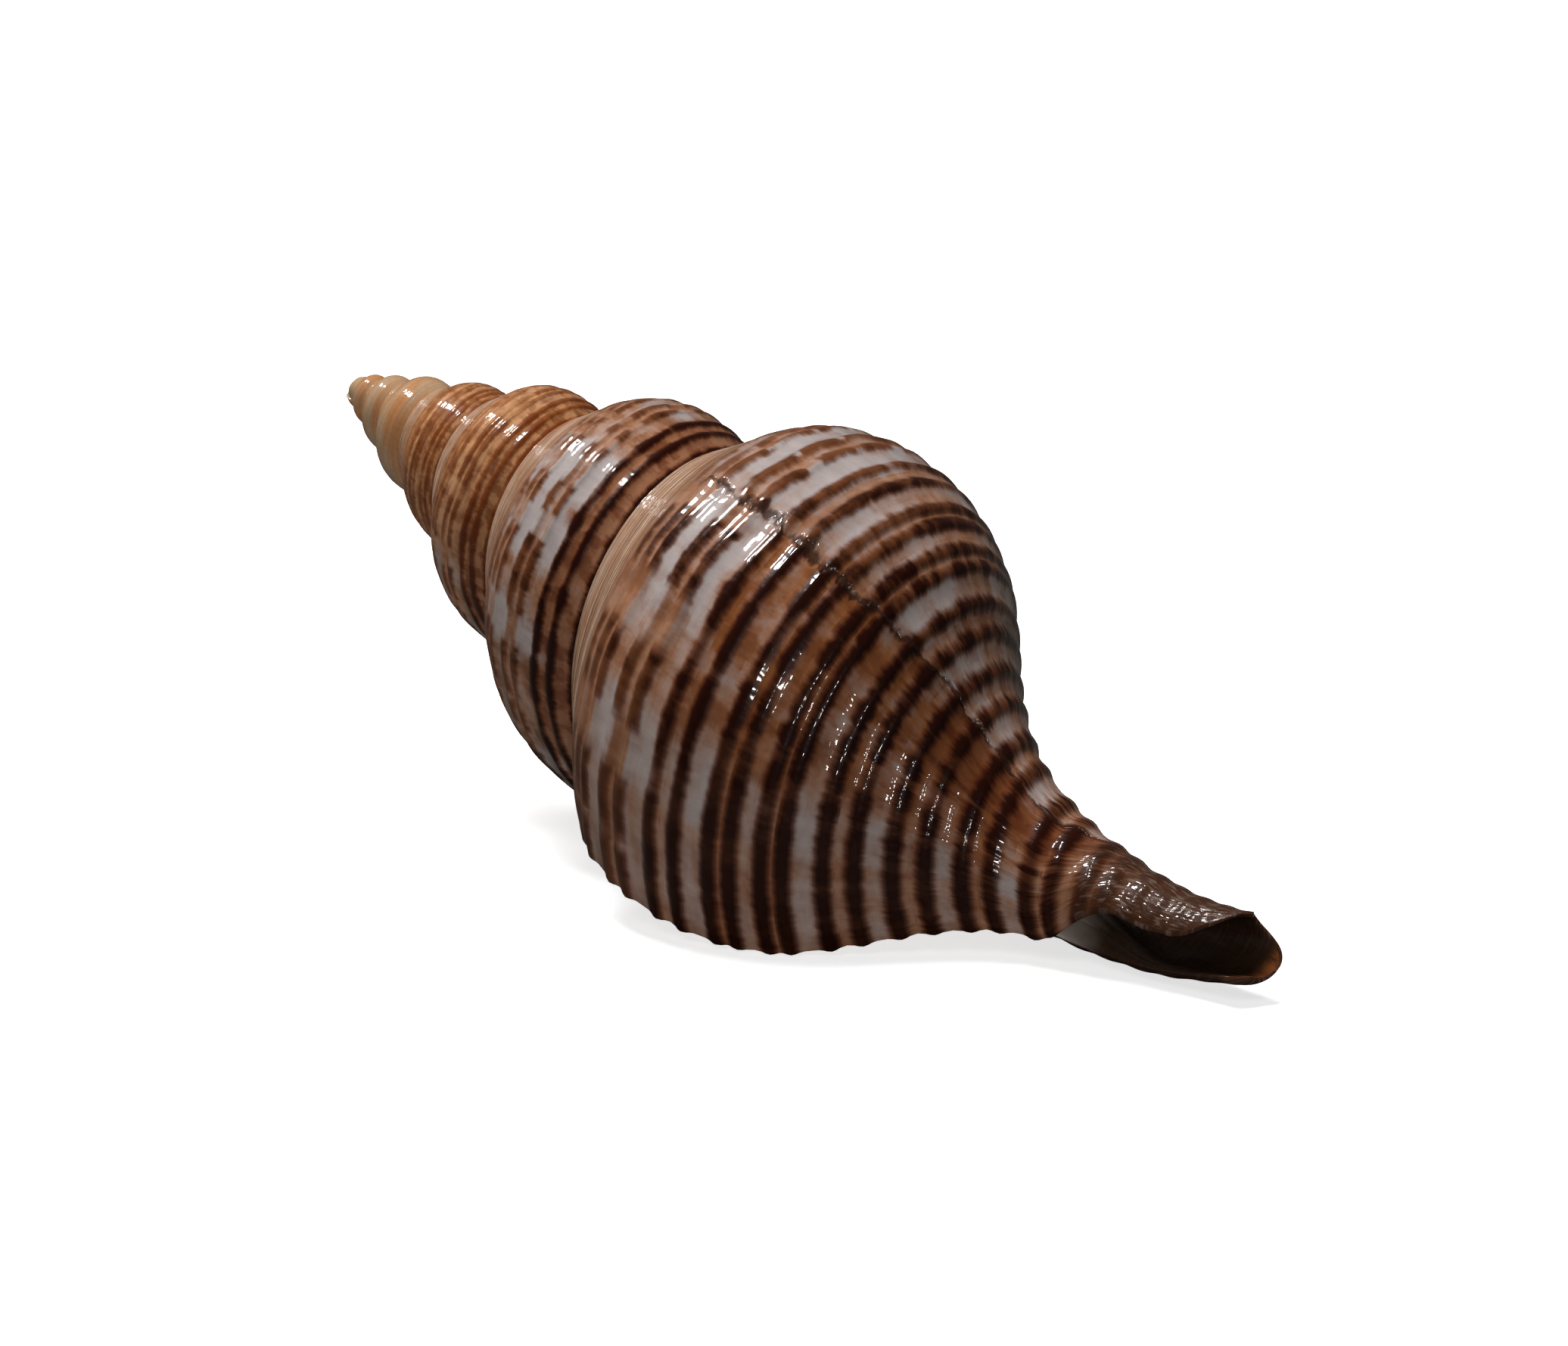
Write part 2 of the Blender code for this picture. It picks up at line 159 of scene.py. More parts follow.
WIDE_BAND = 2.7  # only bands wider than this swell
THREAD_PITCH = 0.85  # fine threads on the ramp below the suture
THREAD_HEIGHT = 0.06
RAMP = 9.0  # width of the ramp
THREADS_TOP = (0.0, 1.5)
THREADS_FOOT = (RAMP + 1.0, 2.0)
FOLD_SWELL = 0.05  # low axial folds on the shoulder, one for each dash of the cords
FOLD_BOW = 0.16  # the cords bow towards the suture as they cross a fold
FOLD_LONG = 0.07  # a fold this long, in turns, has its full swell and bow
FOLDS_TOP = (6.0, 6.0)
FOLDS_FOOT = (31.0, 12.0)
SUNK = 0.22  # the ground between the cords lies this far below the growing edge
RIDGE_PITCH = 2.2  # ridges on the inner side of the lip
RIDGE_HEIGHT = 0.14
RIDGES_BACK = (0.02, 0.03)  # they start this far behind the lip, in turns
RIDGES_TOP = (6.0, 6.0)
RIDGES_FOOT = (58.0, 8.0)
LIP_CARVING = 0.5  # share of the carving that shows on the inner side at the lip
LIP_CARVING_RUN = 0.05
GLAZE_FACE = 0.8  # callus covers the cords beside the mouth, over this share of the face
GLAZE_RUN = 0.06

# Where whorls meet, the carving fades out over these millimetres and turns
SUTURE_FADE = 1.2
NEXT_SUTURE_FADE = 1.0
JOINT_TURNS = 0.04

# The edge of each whorl laps onto the whorl before it
SEAM_STEP = 0.13
SEAM_ROUND = 0.4
LAP = 1.3
EARLY_LAP = 0.7  # earlier whorls are lapped by this much more
EARLY_LAP_TURNS = 1.2
LAP_WAVES = ((0.18, 43.0), (0.12, 97.0))

# The healed break: one old edge of the lip that still shows
SCAR_AT = -0.236
SCAR_BACK = 0.036  # how far back it lies at the neck
SCAR_BACK_ROWS = (33.0, 20.0)
SCAR_STEP = 0.16
SCAR_DIP = 0.6
SCAR_RUN = (0.03, 0.02)  # before and after the break
SCAR_TOP = (8.0, 4.0)
SCAR_FOOT = (64.0, 6.0)
SCAR_SINCE = -0.6  # the shell is untouched before this turn

# ------------ mesh
INNER_COLUMNS = 66
COLUMNS = 2 * INNER_COLUMNS + 1  # columns in one turn
COLUMN = 1 / COLUMNS
LIP_ROUND = 6  # columns round the edge of the lip
COARSE_ROWS = 32
FINE_TURN = -3  # earlier whorls have coarse rows
RAMP_ROWS = 31
CORD_ROWS = (-0.70, -0.35, 0.0, 0.35, 0.70)
BAND_ROW = 1.1  # extra rows of a wide band, this far inside it
ROWED_BAND = 3.0
ROW_APART = 0.15  # no row lies nearer than this to the inner suture
TIP_ROWS = (78.3, 79.3)
ROOF_FROM = 2.0  # the roof of the mouth begins at this U, and a corner joins it to the floor
CORNER_ROWS = (0.0, 0.33, 0.67, 1.0)
END_ROWS = 6
END_SWELL = 0.22
END_MOST = 0.5
END_TOWARDS = Vector((-0.19, -0.4, 0.9))
DOME_RINGS = 6
MERGE = 0.002  # vertices closer than this are one
APEX_BELOW = 12.0  # the rim that the dome closes lies below this height

# Tile of each sheet on the unwrapped map: left, bottom, width, height
BODY_TILE = (0.002, 0.46, 0.996, 0.538)
SECOND_TILE = (0.002, 0.306, 0.68, 0.15)
THIRD_TILE = (0.686, 0.306, 0.312, 0.15)
EARLY_TILE = (0.002, 0.2, 0.8, 0.1)
JOINT_EDGE = 0.805
DOME_SPOT = (0.9, 0.25)
FLOOR_TILE = (0.002, 0.002, 0.3, 0.19)
ROOF_TILE = (0.31, 0.002, 0.45, 0.19)
CORNER_TILE = (0.77, 0.002, 0.1, 0.19)
END_TILE = (0.88, 0.002, 0.118, 0.19)

# ------------ where the markings lie
# Pale patches: centre and half width in turns, from and to in U, strength
PALE_PATCHES = (
    (-0.285, 0.040, 9, 26, 0.95), (-0.285, 0.045, 26, 64, 0.50), (-0.345, 0.030, 14, 26, 0.65),
    (-0.410, 0.030, 12, 60, 0.30), (-0.195, 0.045, 14, 24, 0.62), (-0.085, 0.022, 12, 60, 0.55),
    (-0.030, 0.030, 12, 60, 0.30),
    (-0.510, 0.040, 12, 60, 0.80), (-0.620, 0.035, 10, 44, 0.70), (-0.715, 0.030, 12, 62, 0.85),
    (-0.830, 0.040, 12, 48, 0.75), (-0.935, 0.028, 12, 60, 0.70),
    (-1.062, 0.018, 12, 28, 0.75), (-1.145, 0.024, 10, 25, 0.90), (-1.205, 0.030, 10, 25, 1.00),
    (-1.330, 0.018, 14, 24, 0.55), (-1.440, 0.035, 12, 27, 0.80), (-1.560, 0.028, 12, 25, 0.70),
    (-1.670, 0.036, 12, 28, 0.85), (-1.800, 0.030, 12, 26, 0.70), (-1.910, 0.030, 12, 27, 0.80),
    (-2.020, 0.020, 14, 27, 0.45), (-2.300, 0.030, 14, 27, 0.50), (-2.540, 0.040, 12, 28, 0.55),
    (-2.780, 0.040, 12, 28, 0.50),
)
# Gaps between the dashes of the shoulder cords: centre, half width and strength
GAPS = (
    (-0.430, 0.012, 0.9), (-0.365, 0.009, 0.9), (-0.322, 0.007, 0.8), (-0.283, 0.010, 1.0),
    (-0.226, 0.012, 1.0), (-0.152, 0.022, 0.9), (-0.080, 0.018, 0.8), (-0.030, 0.008, 0.6),
    (-0.490, 0.014, 0.9), (-0.540, 0.010, 0.8), (-0.600, 0.018, 1.0), (-0.668, 0.011, 0.9),
    (-0.722, 0.015, 0.9), (-0.790, 0.012, 0.9), (-0.850, 0.018, 1.0), (-0.915, 0.010, 0.8),
    (-0.965, 0.013, 0.9), (-1.000, 0.008, 0.8), (-1.064, 0.014, 1.0), (-1.150, 0.012, 1.0),
    (-1.205, 0.016, 1.0), (-1.245, 0.010, 0.9), (-1.275, 0.009, 0.9), (-1.345, 0.014, 0.9),
    (-1.420, 0.016, 1.0), (-1.490, 0.012, 0.9), (-1.560, 0.016, 1.0), (-1.630, 0.012, 0.8),
    (-1.690, 0.018, 1.0), (-1.770, 0.012, 0.9), (-1.840, 0.016, 1.0), (-1.910, 0.014, 0.9),
    (-1.970, 0.010, 0.8), (-2.035, 0.016, 0.8), (-2.120, 0.014, 0.6), (-2.260, 0.050, 0.5),
    (-2.420, 0.020, 0.8), (-2.560, 0.025, 0.9), (-2.700, 0.020, 0.8), (-2.840, 0.025, 0.8),
)
# Warm orange-brown patches: centre, half width, from and to in U, strength
WARM_PATCHES = (
    (-0.180, 0.070, 23, 64, 1.00), (-0.470, 0.060, 26, 60, 0.60), (-0.660, 0.050, 24, 62, 0.80),
    (-0.880, 0.060, 24, 62, 0.85), (-1.010, 0.040, 24, 32, 0.70), (-1.250, 0.200, 24, 32, 0.60),
    (-1.400, 0.080, 20, 32, 0.60), (-1.740, 0.090, 22, 32, 0.70),
)
PATCH_EDGE = 4.0  # a patch fades in and out over this many millimetres
PATCH_CORE = 0.55  # share of the half width that has the full strength
PATCH_FADE = 0.9
GAP_CORE = 0.4
CALLUS_FACE = (0.25, 0.6)  # share of the columella's face under callus, and more at the neck
CALLUS_FADE = 0.03
PALE_WIDTH = (2.0, 1.4)  # bands wider than the first are pale, and fully so with the second more
OTHER_TONE = 0.4  # of the ramp and the end of the canal


def natural_spline(knots, points):
    """Second derivatives of the natural cubic through the points."""
    count = len(knots)
    matrix = np.eye(count)
    right = np.zeros((count, 2))
    for i in range(1, count - 1):
        before = knots[i] - knots[i - 1]
        after = knots[i + 1] - knots[i]
        matrix[i, i - 1 : i + 2] = (before, 2 * (before + after), after)
        coming = (points[i] - points[i - 1]) / before
        right[i] = 6 * ((points[i + 1] - points[i]) / after - coming)
    return np.linalg.solve(matrix, right)


SUTURE = (SUTURE_HEIGHT * SUTURE_SLOPE, SUTURE_HEIGHT)
NEXT_SUTURE = (SUTURE[0] * WHORL_RATIO, SUTURE[1] * WHORL_RATIO)
EDGE_POINTS = np.array([SUTURE, *SHOULDER, NEXT_SUTURE, *BASE, *CANAL])
EDGE_KNOTS = np.concatenate([[0.0], np.cumsum(np.hypot(*np.diff(EDGE_POINTS, axis=0).T))])
EDGE_BEND = natural_spline(EDGE_KNOTS, EDGE_POINTS)
U_SUTURE = float(EDGE_KNOTS[4])
U_TIP = float(EDGE_KNOTS[-1])
CRESTS = [crest for crest, _ in CORDS]
BANDS = [((a + b) / 2, a, b) for a, b in zip(CRESTS, CRESTS[1:], strict=False)]
FOLD_EDGES = sorted(centre for centre, _, _ in GAPS)


def edge_point(u):
    """Position and outward normal of the growing edge at the lip."""
    i = int(np.clip(np.searchsorted(EDGE_KNOTS, u) - 1, 0, len(EDGE_KNOTS) - 2))
    step = EDGE_KNOTS[i + 1] - EDGE_KNOTS[i]
    a = (EDGE_KNOTS[i + 1] - u) / step
    b = 1 - a
    bend = ((a**3 - a) * EDGE_BEND[i] + (b**3 - b) * EDGE_BEND[i + 1]) * step**2 / 6
    point = a * EDGE_POINTS[i] + b * EDGE_POINTS[i + 1] + bend
    turn = ((3 * b**2 - 1) * EDGE_BEND[i + 1] - (3 * a**2 - 1) * EDGE_BEND[i]) * step / 6
    along = (EDGE_POINTS[i + 1] - EDGE_POINTS[i]) / step + turn
    along /= math.hypot(along[0], along[1])
    return point, np.array([along[1], -along[0]])


def smooth(x):
    x = min(max(x, 0.0), 1.0)
    return x * x * (3 - 2 * x)


def starts(x, start, run):
    """0 up to start and 1 from start + run on, with a soft run between them."""
    return smooth((x - start) / run)


def ends(x, end, run):
    """1 up to end - run and 0 from end on, with a soft run between them."""
    return smooth((end - x) / run)


def smooth_sum(x):
    """Integral of smooth(x)."""
    y = min(max(x, 0.0), 1.0)
    return y**3 - y**4 / 2 + max(x - 1, 0.0)


def bump(x):
    return math.exp(-x * x)


def growth(t, u):
    """Size at t against the lip. Below the inner suture it fades out, so the canal stays."""
    return WHORL_RATIO ** (t * (1 - starts(u, U_SUTURE, U_TIP - U_SUTURE)))


def lip_end(u):
    """Where the lip ends: straight down the whorl, then drawn back along the canal."""
    return sum(turns * starts(u, start, run) for turns, start, run in LIP_BACK)


def gutter(u):
    """0 at the neck, and 1 where the canal has opened to a gutter."""
    return starts(u, *GUTTER_ROWS)


def depth(u):
    """Depth of the hollow behind the lip, in turns."""
    closed = DEEP + (CANAL_DEEP - DEEP) * starts(u - U_SUTURE, *DEEP_ROWS)
    return closed + (GUTTER_DEEP - closed) * gutter(u)


def slot(u):
    """Width of the columella's face beside the lip, in turns."""
    return SLOT + (CANAL_SLOT - SLOT) * starts(u, *SLOT_ROWS)


def wall_at(u):
    return WALL - CANAL_THIN * starts(u, U_NECK, U_TIP - U_NECK)


def cut_end(t, u):
    """The rim of the canal's end is notched on the back and rounded elsewhere."""
    if u <= U_NECK:
        return u
    end = float(CANAL_RIM(t))
    return u - (U_TIP - end) * ((u - U_NECK) / (U_TIP - U_NECK)) ** RIM_PULL


def smoothed(table):
    """A smooth curve through the points of a table, level at both ends."""
    at = np.array([point[0] for point in table])
    value = np.array([point[1] for point in table])
    slope = np.gradient(value, at)
    slope[0] = slope[-1] = 0.0

    def curve(x):
        x = min(max(x, at[0]), at[-1])
        i = min(int(np.searchsorted(at, x, side="right")) - 1, len(at) - 2)
        run = at[i + 1] - at[i]
        b = (x - at[i]) / run
        rise = (3 * b**2 - 2 * b**3) * (value[i + 1] - value[i])
        bend = (b**3 - 2 * b**2 + b) * slope[i] + (b**3 - b**2) * slope[i + 1]
        return value[i] + rise + run * bend

    return curve


CANAL_RIM = smoothed(CANAL_END)


def shape(t, u):
    """Position and normal on the growing edge, with the waist three turns back."""
    point, normal = edge_point(u)
    if u < U_SUTURE:
        chord = np.array(SUTURE) + (np.array(NEXT_SUTURE) - SUTURE) * u / U_SUTURE
        point = point - (point - chord) * WAIST * bump((t - WAIST_AT) / WAIST_RUN)
    return point, normal


def fold_wave(t):
    """1 in the gap between two dashes and -1 in the middle of a dash."""
    place = int(np.searchsorted(FOLD_EDGES, t))
    if place in (0, len(FOLD_EDGES)):
        return 0.0
    before = FOLD_EDGES[place - 1]
    long = FOLD_EDGES[place] - before
    return smooth(long / FOLD_LONG) * math.cos(2 * math.pi * (t - before) / long)


def between(u, top, foot):
    """1 between the rows where something begins and ends, and 0 outside them."""
    return starts(u, *top) * ends(u, *foot)


def folded(u):
    """Share of the folds at u: strong on the shoulder, gone on the ramp and the base."""
    return between(u, FOLDS_TOP, FOLDS_FOOT)


def scar_distance(t, u):
    """Turns past the healed break, which bends back towards the neck."""
    return t - lip_end(u) - SCAR_AT + SCAR_BACK * starts(u, *SCAR_BACK_ROWS)


def relief(t, u):
    """Height of the carving on the outer side."""
    carved = starts(t, *CARVING_STARTS)
    height = -SUNK
    for crest, rise in CORDS:
        if abs(u - crest) < CORD_REACH:
            height += rise * bump((u - crest) / CORD_WIDTH)
    for middle, left, right in BANDS:
        if right - left > WIDE_BAND and abs(u - middle) < BAND_REACH:
            height += BAND_SWELL * bump((u - middle) / (BAND_SHARE * (right - left)))
    height *= carved * smooth(u / CORDS_RISE)
    threads = THREAD_HEIGHT * math.cos(2 * math.pi * u / THREAD_PITCH)
    height += carved * threads * between(u, THREADS_TOP, THREADS_FOOT)
    height -= FOLD_SWELL * fold_wave(t) * folded(u)
    if t > SCAR_SINCE:
        past = scar_distance(t, u)
        before, after = SCAR_RUN
        lifted = math.exp(past / before) if past < 0 else -SCAR_DIP * math.exp(-past / after)
        height += SCAR_STEP * lifted * between(u, SCAR_TOP, SCAR_FOOT)
    return height


def joined(t, u):
    """1 on the open surface, 0 where whorls meet, so that each row of a suture is shared."""
    share = smooth(u / SUTURE_FADE)
    if t < -1 + SLOT + JOINT_TURNS:
        share *= ends(u, U_SUTURE, NEXT_SUTURE_FADE) if u <= U_SUTURE else 1.0
        if t > -1:
            freed = smooth((t + 1 - SLOT) / JOINT_TURNS)
            share = share * (1 - freed) + smooth(u / SUTURE_FADE) * freed
    return share


def lap_width(t):
    """How far the next whorl laps onto this one, along the growing edge."""
    width = LAP + EARLY_LAP * ends(t, -1.0, EARLY_LAP_TURNS)
    return width + sum(size * math.sin(pace * t) for size, pace in LAP_WAVES)


def overlap(t, u):
    """The next whorl's edge, which laps onto this whorl in front of the suture."""
    if t > -1 or u > U_SUTURE:
        return 0.0
    edge = U_SUTURE - lap_width(t)
    return SEAM_STEP * starts(u, edge - SEAM_ROUND / 2, SEAM_ROUND)


def pillar(t, u):
    """The columella is slimmer than the growing edge. Over its face this widens to the base."""
    below = u - U_SUTURE
    if below <= 0 or t > -1 + slot(u):
        return 1.0
    share = float(np.interp(below, [p[0] for p in PILLAR], [p[1] for p in PILLAR]))
    share += SHELF * bump((u - SHELF_AT) / SHELF_WIDTH) * smooth(1 + (t + 1) / SHELF_RUN)
    return share + (1 - share) * smooth((t + 1) / slot(u))


def far_side(t, u):
    """The open gutter: its floor lies on the far wall, up to the rounded edge at the slot."""
    edge = (t + 1) / slot(u)
    if edge < 0:
        turn = GUTTER_EDGE + (GUTTER_DEEP + GUTTER_EDGE) * (t + 1) / depth(u)
        share = 0.0
    else:
        turn = GUTTER_EDGE + (slot(u) - 1 - GUTTER_EDGE) * edge
        turn -= GUTTER_SWELL * math.sin(math.pi * edge)
        share = (1 - math.cos(math.pi * edge)) / 2
    point, normal = edge_point(u)
    size = growth(turn, u)
    wall = wall_at(u) * (1 - share)
    return laid(turn, size * point[0] - wall * normal[0], size * point[1] - wall * normal[1])


def fold(t, u):
    """Low oblique folds on the columella, fading out towards the mouth."""
    height = 0.0
    for place in FOLDS:
        height += FOLD_HEIGHT * bump((u - U_SUTURE - place - FOLD_SLANT * (t + 1)) / FOLD_WIDTH)
    return height * (1 - smooth((t + 1) / (FOLD_FACE * SLOT))) * (1 - starts(u, U_NECK, 4.0))


def laid(t, radius, height):
    """Turns a point of the growing edge to t, then bends the axis."""
    run = smooth_sum((height - CANAL_BEND_START) / CANAL_BEND_RUN)
    run *= CANAL_BEND_SLOPE * CANAL_BEND_RUN
    near = max((APEX_SETTLE_BELOW - height) / APEX_SETTLE_BELOW, 0.0) ** 2
    lean = APEX_LEAN * near
    angle = 2 * math.pi * t
    x = radius * math.cos(angle)
    y = radius * math.sin(angle)
    x += run * math.cos(CANAL_BEND_TOWARDS) + lean * math.cos(APEX_LEAN_TOWARDS)
    y += run * math.sin(CANAL_BEND_TOWARDS) + lean * math.sin(APEX_LEAN_TOWARDS)
    return Vector((x, y, height + APEX_SETTLE * near))


def outside(t, u):
    """The outer side, and from t = -1 down the side of the columella and the whorl before."""
    u = cut_end(t, u)
    point, normal = shape(t, u + FOLD_BOW * fold_wave(t) * folded(u) * joined(t, u))
    size = growth(t, u)
    glazed = 1.0
    if u > U_SUTURE:
        glazed = smooth((t + 1 - GLAZE_FACE * slot(u)) / GLAZE_RUN)
    raised = size * ((relief(t, u) * glazed + overlap(t, u)) * joined(t, u))
    radius = (size * point[0] + raised * normal[0]) * pillar(t, u)
    radius += fold(t, u) if u > U_SUTURE else 0.0
    place = laid(t, radius, size * point[1] + raised * normal[1])
    if u > U_NECK and t < -1 + slot(u):
        place = place.lerp(far_side(t, u), gutter(u))
    if u > U_NECK:
        angle = 2 * math.pi * FLARE_AT
        out = Vector((math.cos(angle), math.sin(angle), 0.0))
        place += out * FLARE * starts(u, *FLARE_ROWS) * bump((t - FLARE_AT) / FLARE_RUN)
    return place


def inside(t, u):
    """The inner side of the wall, with low ridges behind the lip."""
    u = cut_end(t, u)
    point, normal = shape(t, u)
    size = growth(t, u)
    past = lip_end(u) - t
    thin = min(EDGE_WALL, wall_at(u))
    wall = thin + (wall_at(u) - thin) * smooth(past / EDGE_RUN)
    wall -= LIP_CARVING * relief(t, u) * (1 - smooth(past / LIP_CARVING_RUN))
    ridges = RIDGE_HEIGHT * math.cos(2 * math.pi * u / RIDGE_PITCH)
    wall += ridges * starts(past, *RIDGES_BACK) * between(u, RIDGES_TOP, RIDGES_FOOT)
    wall *= WHORL_RATIO ** min(t + DEEP, 0.0)
    radius = size * point[0] * pillar(t, u) - wall * normal[0]
    return laid(t, radius, size * point[1] - wall * normal[1])


# ------------ markings, as maps on the surface
def patches(table, t, u):
    """Strength of the strongest patch that covers a point."""
    best = 0.0
    for centre, half, low, high, strength in table:
        across = abs(t - centre) / half
        if across < PATCH_CORE + PATCH_FADE:
            along = smooth((u - low) / PATCH_EDGE + 0.5) * smooth((high - u) / PATCH_EDGE + 0.5)
            best = max(best, strength * along * (1 - starts(across, PATCH_CORE, PATCH_FADE)))
    return best


def gap(t):
    """Strength of the gap between two dashes at t."""
    best = 0.0
    for centre, half, strength in GAPS:
        best = max(best, strength * (1 - starts(abs(t - centre) / half, GAP_CORE, 1.0)))
    return best


def band_tone(u):
    """How pale the band between two cords is: the wide ones are palest."""
    for _, left, right in BANDS:
        if left <= u <= right:
            return starts(right - left, *PALE_WIDTH)
    return OTHER_TONE


def marks(t, u, skin=0.0):
    """The values that the colours read: time of growth, cords, skin, tints."""
    v = cut_end(t, u)
    time = t - lip_end(v)
    nearest = min(range(len(CRESTS)), key=lambda k: abs(v - CRESTS[k]))
    callus = 0.0
    if v > U_SUTURE:
        face = CALLUS_FACE[0] + CALLUS_FACE[1] * starts(v, *SLOT_ROWS)
        callus = 1 - smooth((t + 1 - face * slot(v)) / CALLUS_FADE)
    return {
        "Growth": (time, v),
        "Cords": (abs(v - CRESTS[nearest]), nearest),
        "Skin": (max(skin, callus), scar_distance(t, v)),
        "Tint": (patches(PALE_PATCHES, time, v), patches(WARM_PATCHES, time, v)),
        "Dashes": (gap(time), band_tone(v)),
    }


MAPS = ("Growth", "Cords", "Skin", "Tint", "Dashes", "OFBake")


# ------------ building the mesh
def write_maps(bm, face, values):
    """Gives each corner of a face the marks of its vertex."""
    for loop in face.loops:
        for name, pair in values[loop.vert].items():
            loop[bm.loops.layers.uv[name]].uv = pair


def write_same(bm, face, values):
    """Gives every corner of a face the same marks."""
    write_maps(bm, face, dict.fromkeys(face.verts, values))


def sheet(bm, columns, rows, place, mark, tile):
    """A grid with its columns along the growth and its rows along the growing edge."""
    made = bmesh.ops.create_grid(bm, x_segments=columns, y_segments=len(rows) - 1, size=1.0)
    table = {}
    values = {}
    x, y, width, height = tile
    for vert in made["verts"]:
        i = round((vert.co.x + 1) / 2 * columns)
        j = round((vert.co.y + 1) / 2 * (len(rows) - 1))
        vert.co = place(i, rows[j])
        values[vert] = mark(i, rows[j])
        values[vert]["OFBake"] = (x + width * i / columns, y + height * j / (len(rows) - 1))
        table[i, j] = vert
    for face in {face for vert in made["verts"] for face in vert.link_faces}:
        write_maps(bm, face, values)
    return table, values


def outer_sheet(bm, columns, rows, time, tile, skin=0.0):
    """A sheet on the outer side, whose time of growth depends on its column and row."""
    return sheet(
        bm, columns, rows,
        lambda i, u: outside(time(i, u), u),
        lambda i, u: marks(time(i, u), u, skin),
        tile,
    )


def loft(bm, left, right, values):
    """Joins two chains of (u, vertex) whose steps differ, moving on where u is smaller."""
    i = 0
    j = 0
    while i < len(left) - 1 or j < len(right) - 1:
        next_left = left[i + 1][0] if i < len(left) - 1 else math.inf
        next_right = right[j + 1][0] if j < len(right) - 1 else math.inf
        if next_left <= next_right:
            face = bm.faces.new((left[i][1], left[i + 1][1], right[j][1]))
            i += 1
        else:
            face = bm.faces.new((left[i][1], right[j + 1][1], right[j][1]))
            j += 1
        write_maps(bm, face, values)


def edge_rows():
    """Rows of the last whorl, close together on the threads of the ramp and at each cord."""
    rows = list(np.linspace(0.0, RAMP, RAMP_ROWS))
    rows += [crest + off for crest in CRESTS for off in CORD_ROWS]
    for middle, left, right in BANDS:
        rows.append(middle)
        if right - left > ROWED_BAND:
            rows += [left + BAND_ROW, right - BAND_ROW]
    rows += [*TIP_ROWS, U_TIP]
    rows = [u for u in rows if abs(u - U_SUTURE) > ROW_APART]
    return sorted(float(u) for u in {*rows, U_SUTURE})


def body_time(i, u):
    """Time of growth at a column of the last whorl."""
    return -1 + (1 + lip_end(u)) * i * COLUMN


def floor_time(i, u):
    """Time of growth at a column of the floor: the columella and the whorl before."""
    return -1 - depth(u) * (1 - i / INNER_COLUMNS)


def roof_time(i, u):
    """Time of growth at a column of the roof: the wall behind the lip."""
    return -depth(u) + (depth(u) + lip_end(u)) * min(i / INNER_COLUMNS, 1.0)


def roof_place(i, u):
    """The last columns go round the edge of the lip, from the inner to the outer side."""
    t = roof_time(i, u)
    inner = inside(t, u)
    if i <= INNER_COLUMNS:
        return inner
    outer = outside(t, u)
    ahead = (outer - outside(t - 0.002, u)).normalized()
    angle = math.pi * (i - INNER_COLUMNS) / LIP_ROUND
    middle = (inner + outer) / 2
    round_lip = ahead * (inner - middle).length * math.sin(angle)
    return middle + (inner - middle) * math.cos(angle) + round_lip


def roof_marks(i, u):
    return marks(roof_time(i, u), u, skin=1 - smooth((i - INNER_COLUMNS) / LIP_ROUND))


def end_place(i, s):
    """The end of the canal: from the outer side in to the floor and the roof."""
    outer = outside(body_time(i, U_TIP), U_TIP)
    if i <= INNER_COLUMNS:
        inner = outside(floor_time(INNER_COLUMNS - i, U_TIP), U_TIP)
    else:
        inner = inside(roof_time(i - INNER_COLUMNS - 1, U_TIP), U_TIP)
    swell = END_SWELL * (outer - inner).length * math.sin(math.pi * s)
    return outer.lerp(inner, s) + END_TOWARDS * min(swell, END_MOST)


def build_outer_side(bm, rows):
    """The last whorl, then the whorls of the spire back to the apex."""

    def after(turn):
        return lambda i, u: turn + i * COLUMN

    outer_sheet(bm, COLUMNS, rows, body_time, BODY_TILE)
    spire_rows = rows[: rows.index(U_SUTURE) + 1]
    outer_sheet(bm, COLUMNS, spire_rows, after(-2), SECOND_TILE)
    outer_sheet(bm, COLUMNS, spire_rows, after(-3), THIRD_TILE)
    coarse_rows = [U_SUTURE * k / COARSE_ROWS for k in range(COARSE_ROWS + 1)]
    count = COLUMNS * (TURNS + FINE_TURN) - 1
    early, values = outer_sheet(bm, count, coarse_rows, after(-TURNS), EARLY_TILE)
    joint = []
    for u in spire_rows:
        vert = bm.verts.new(outside(FINE_TURN, u))
        values[vert] = marks(FINE_TURN, u)
        values[vert]["OFBake"] = (JOINT_EDGE, EARLY_TILE[1] + EARLY_TILE[3] * u / U_SUTURE)
        joint.append((u, vert))
    loft(bm, [(u, early[count, j]) for j, u in enumerate(coarse_rows)], joint, values)


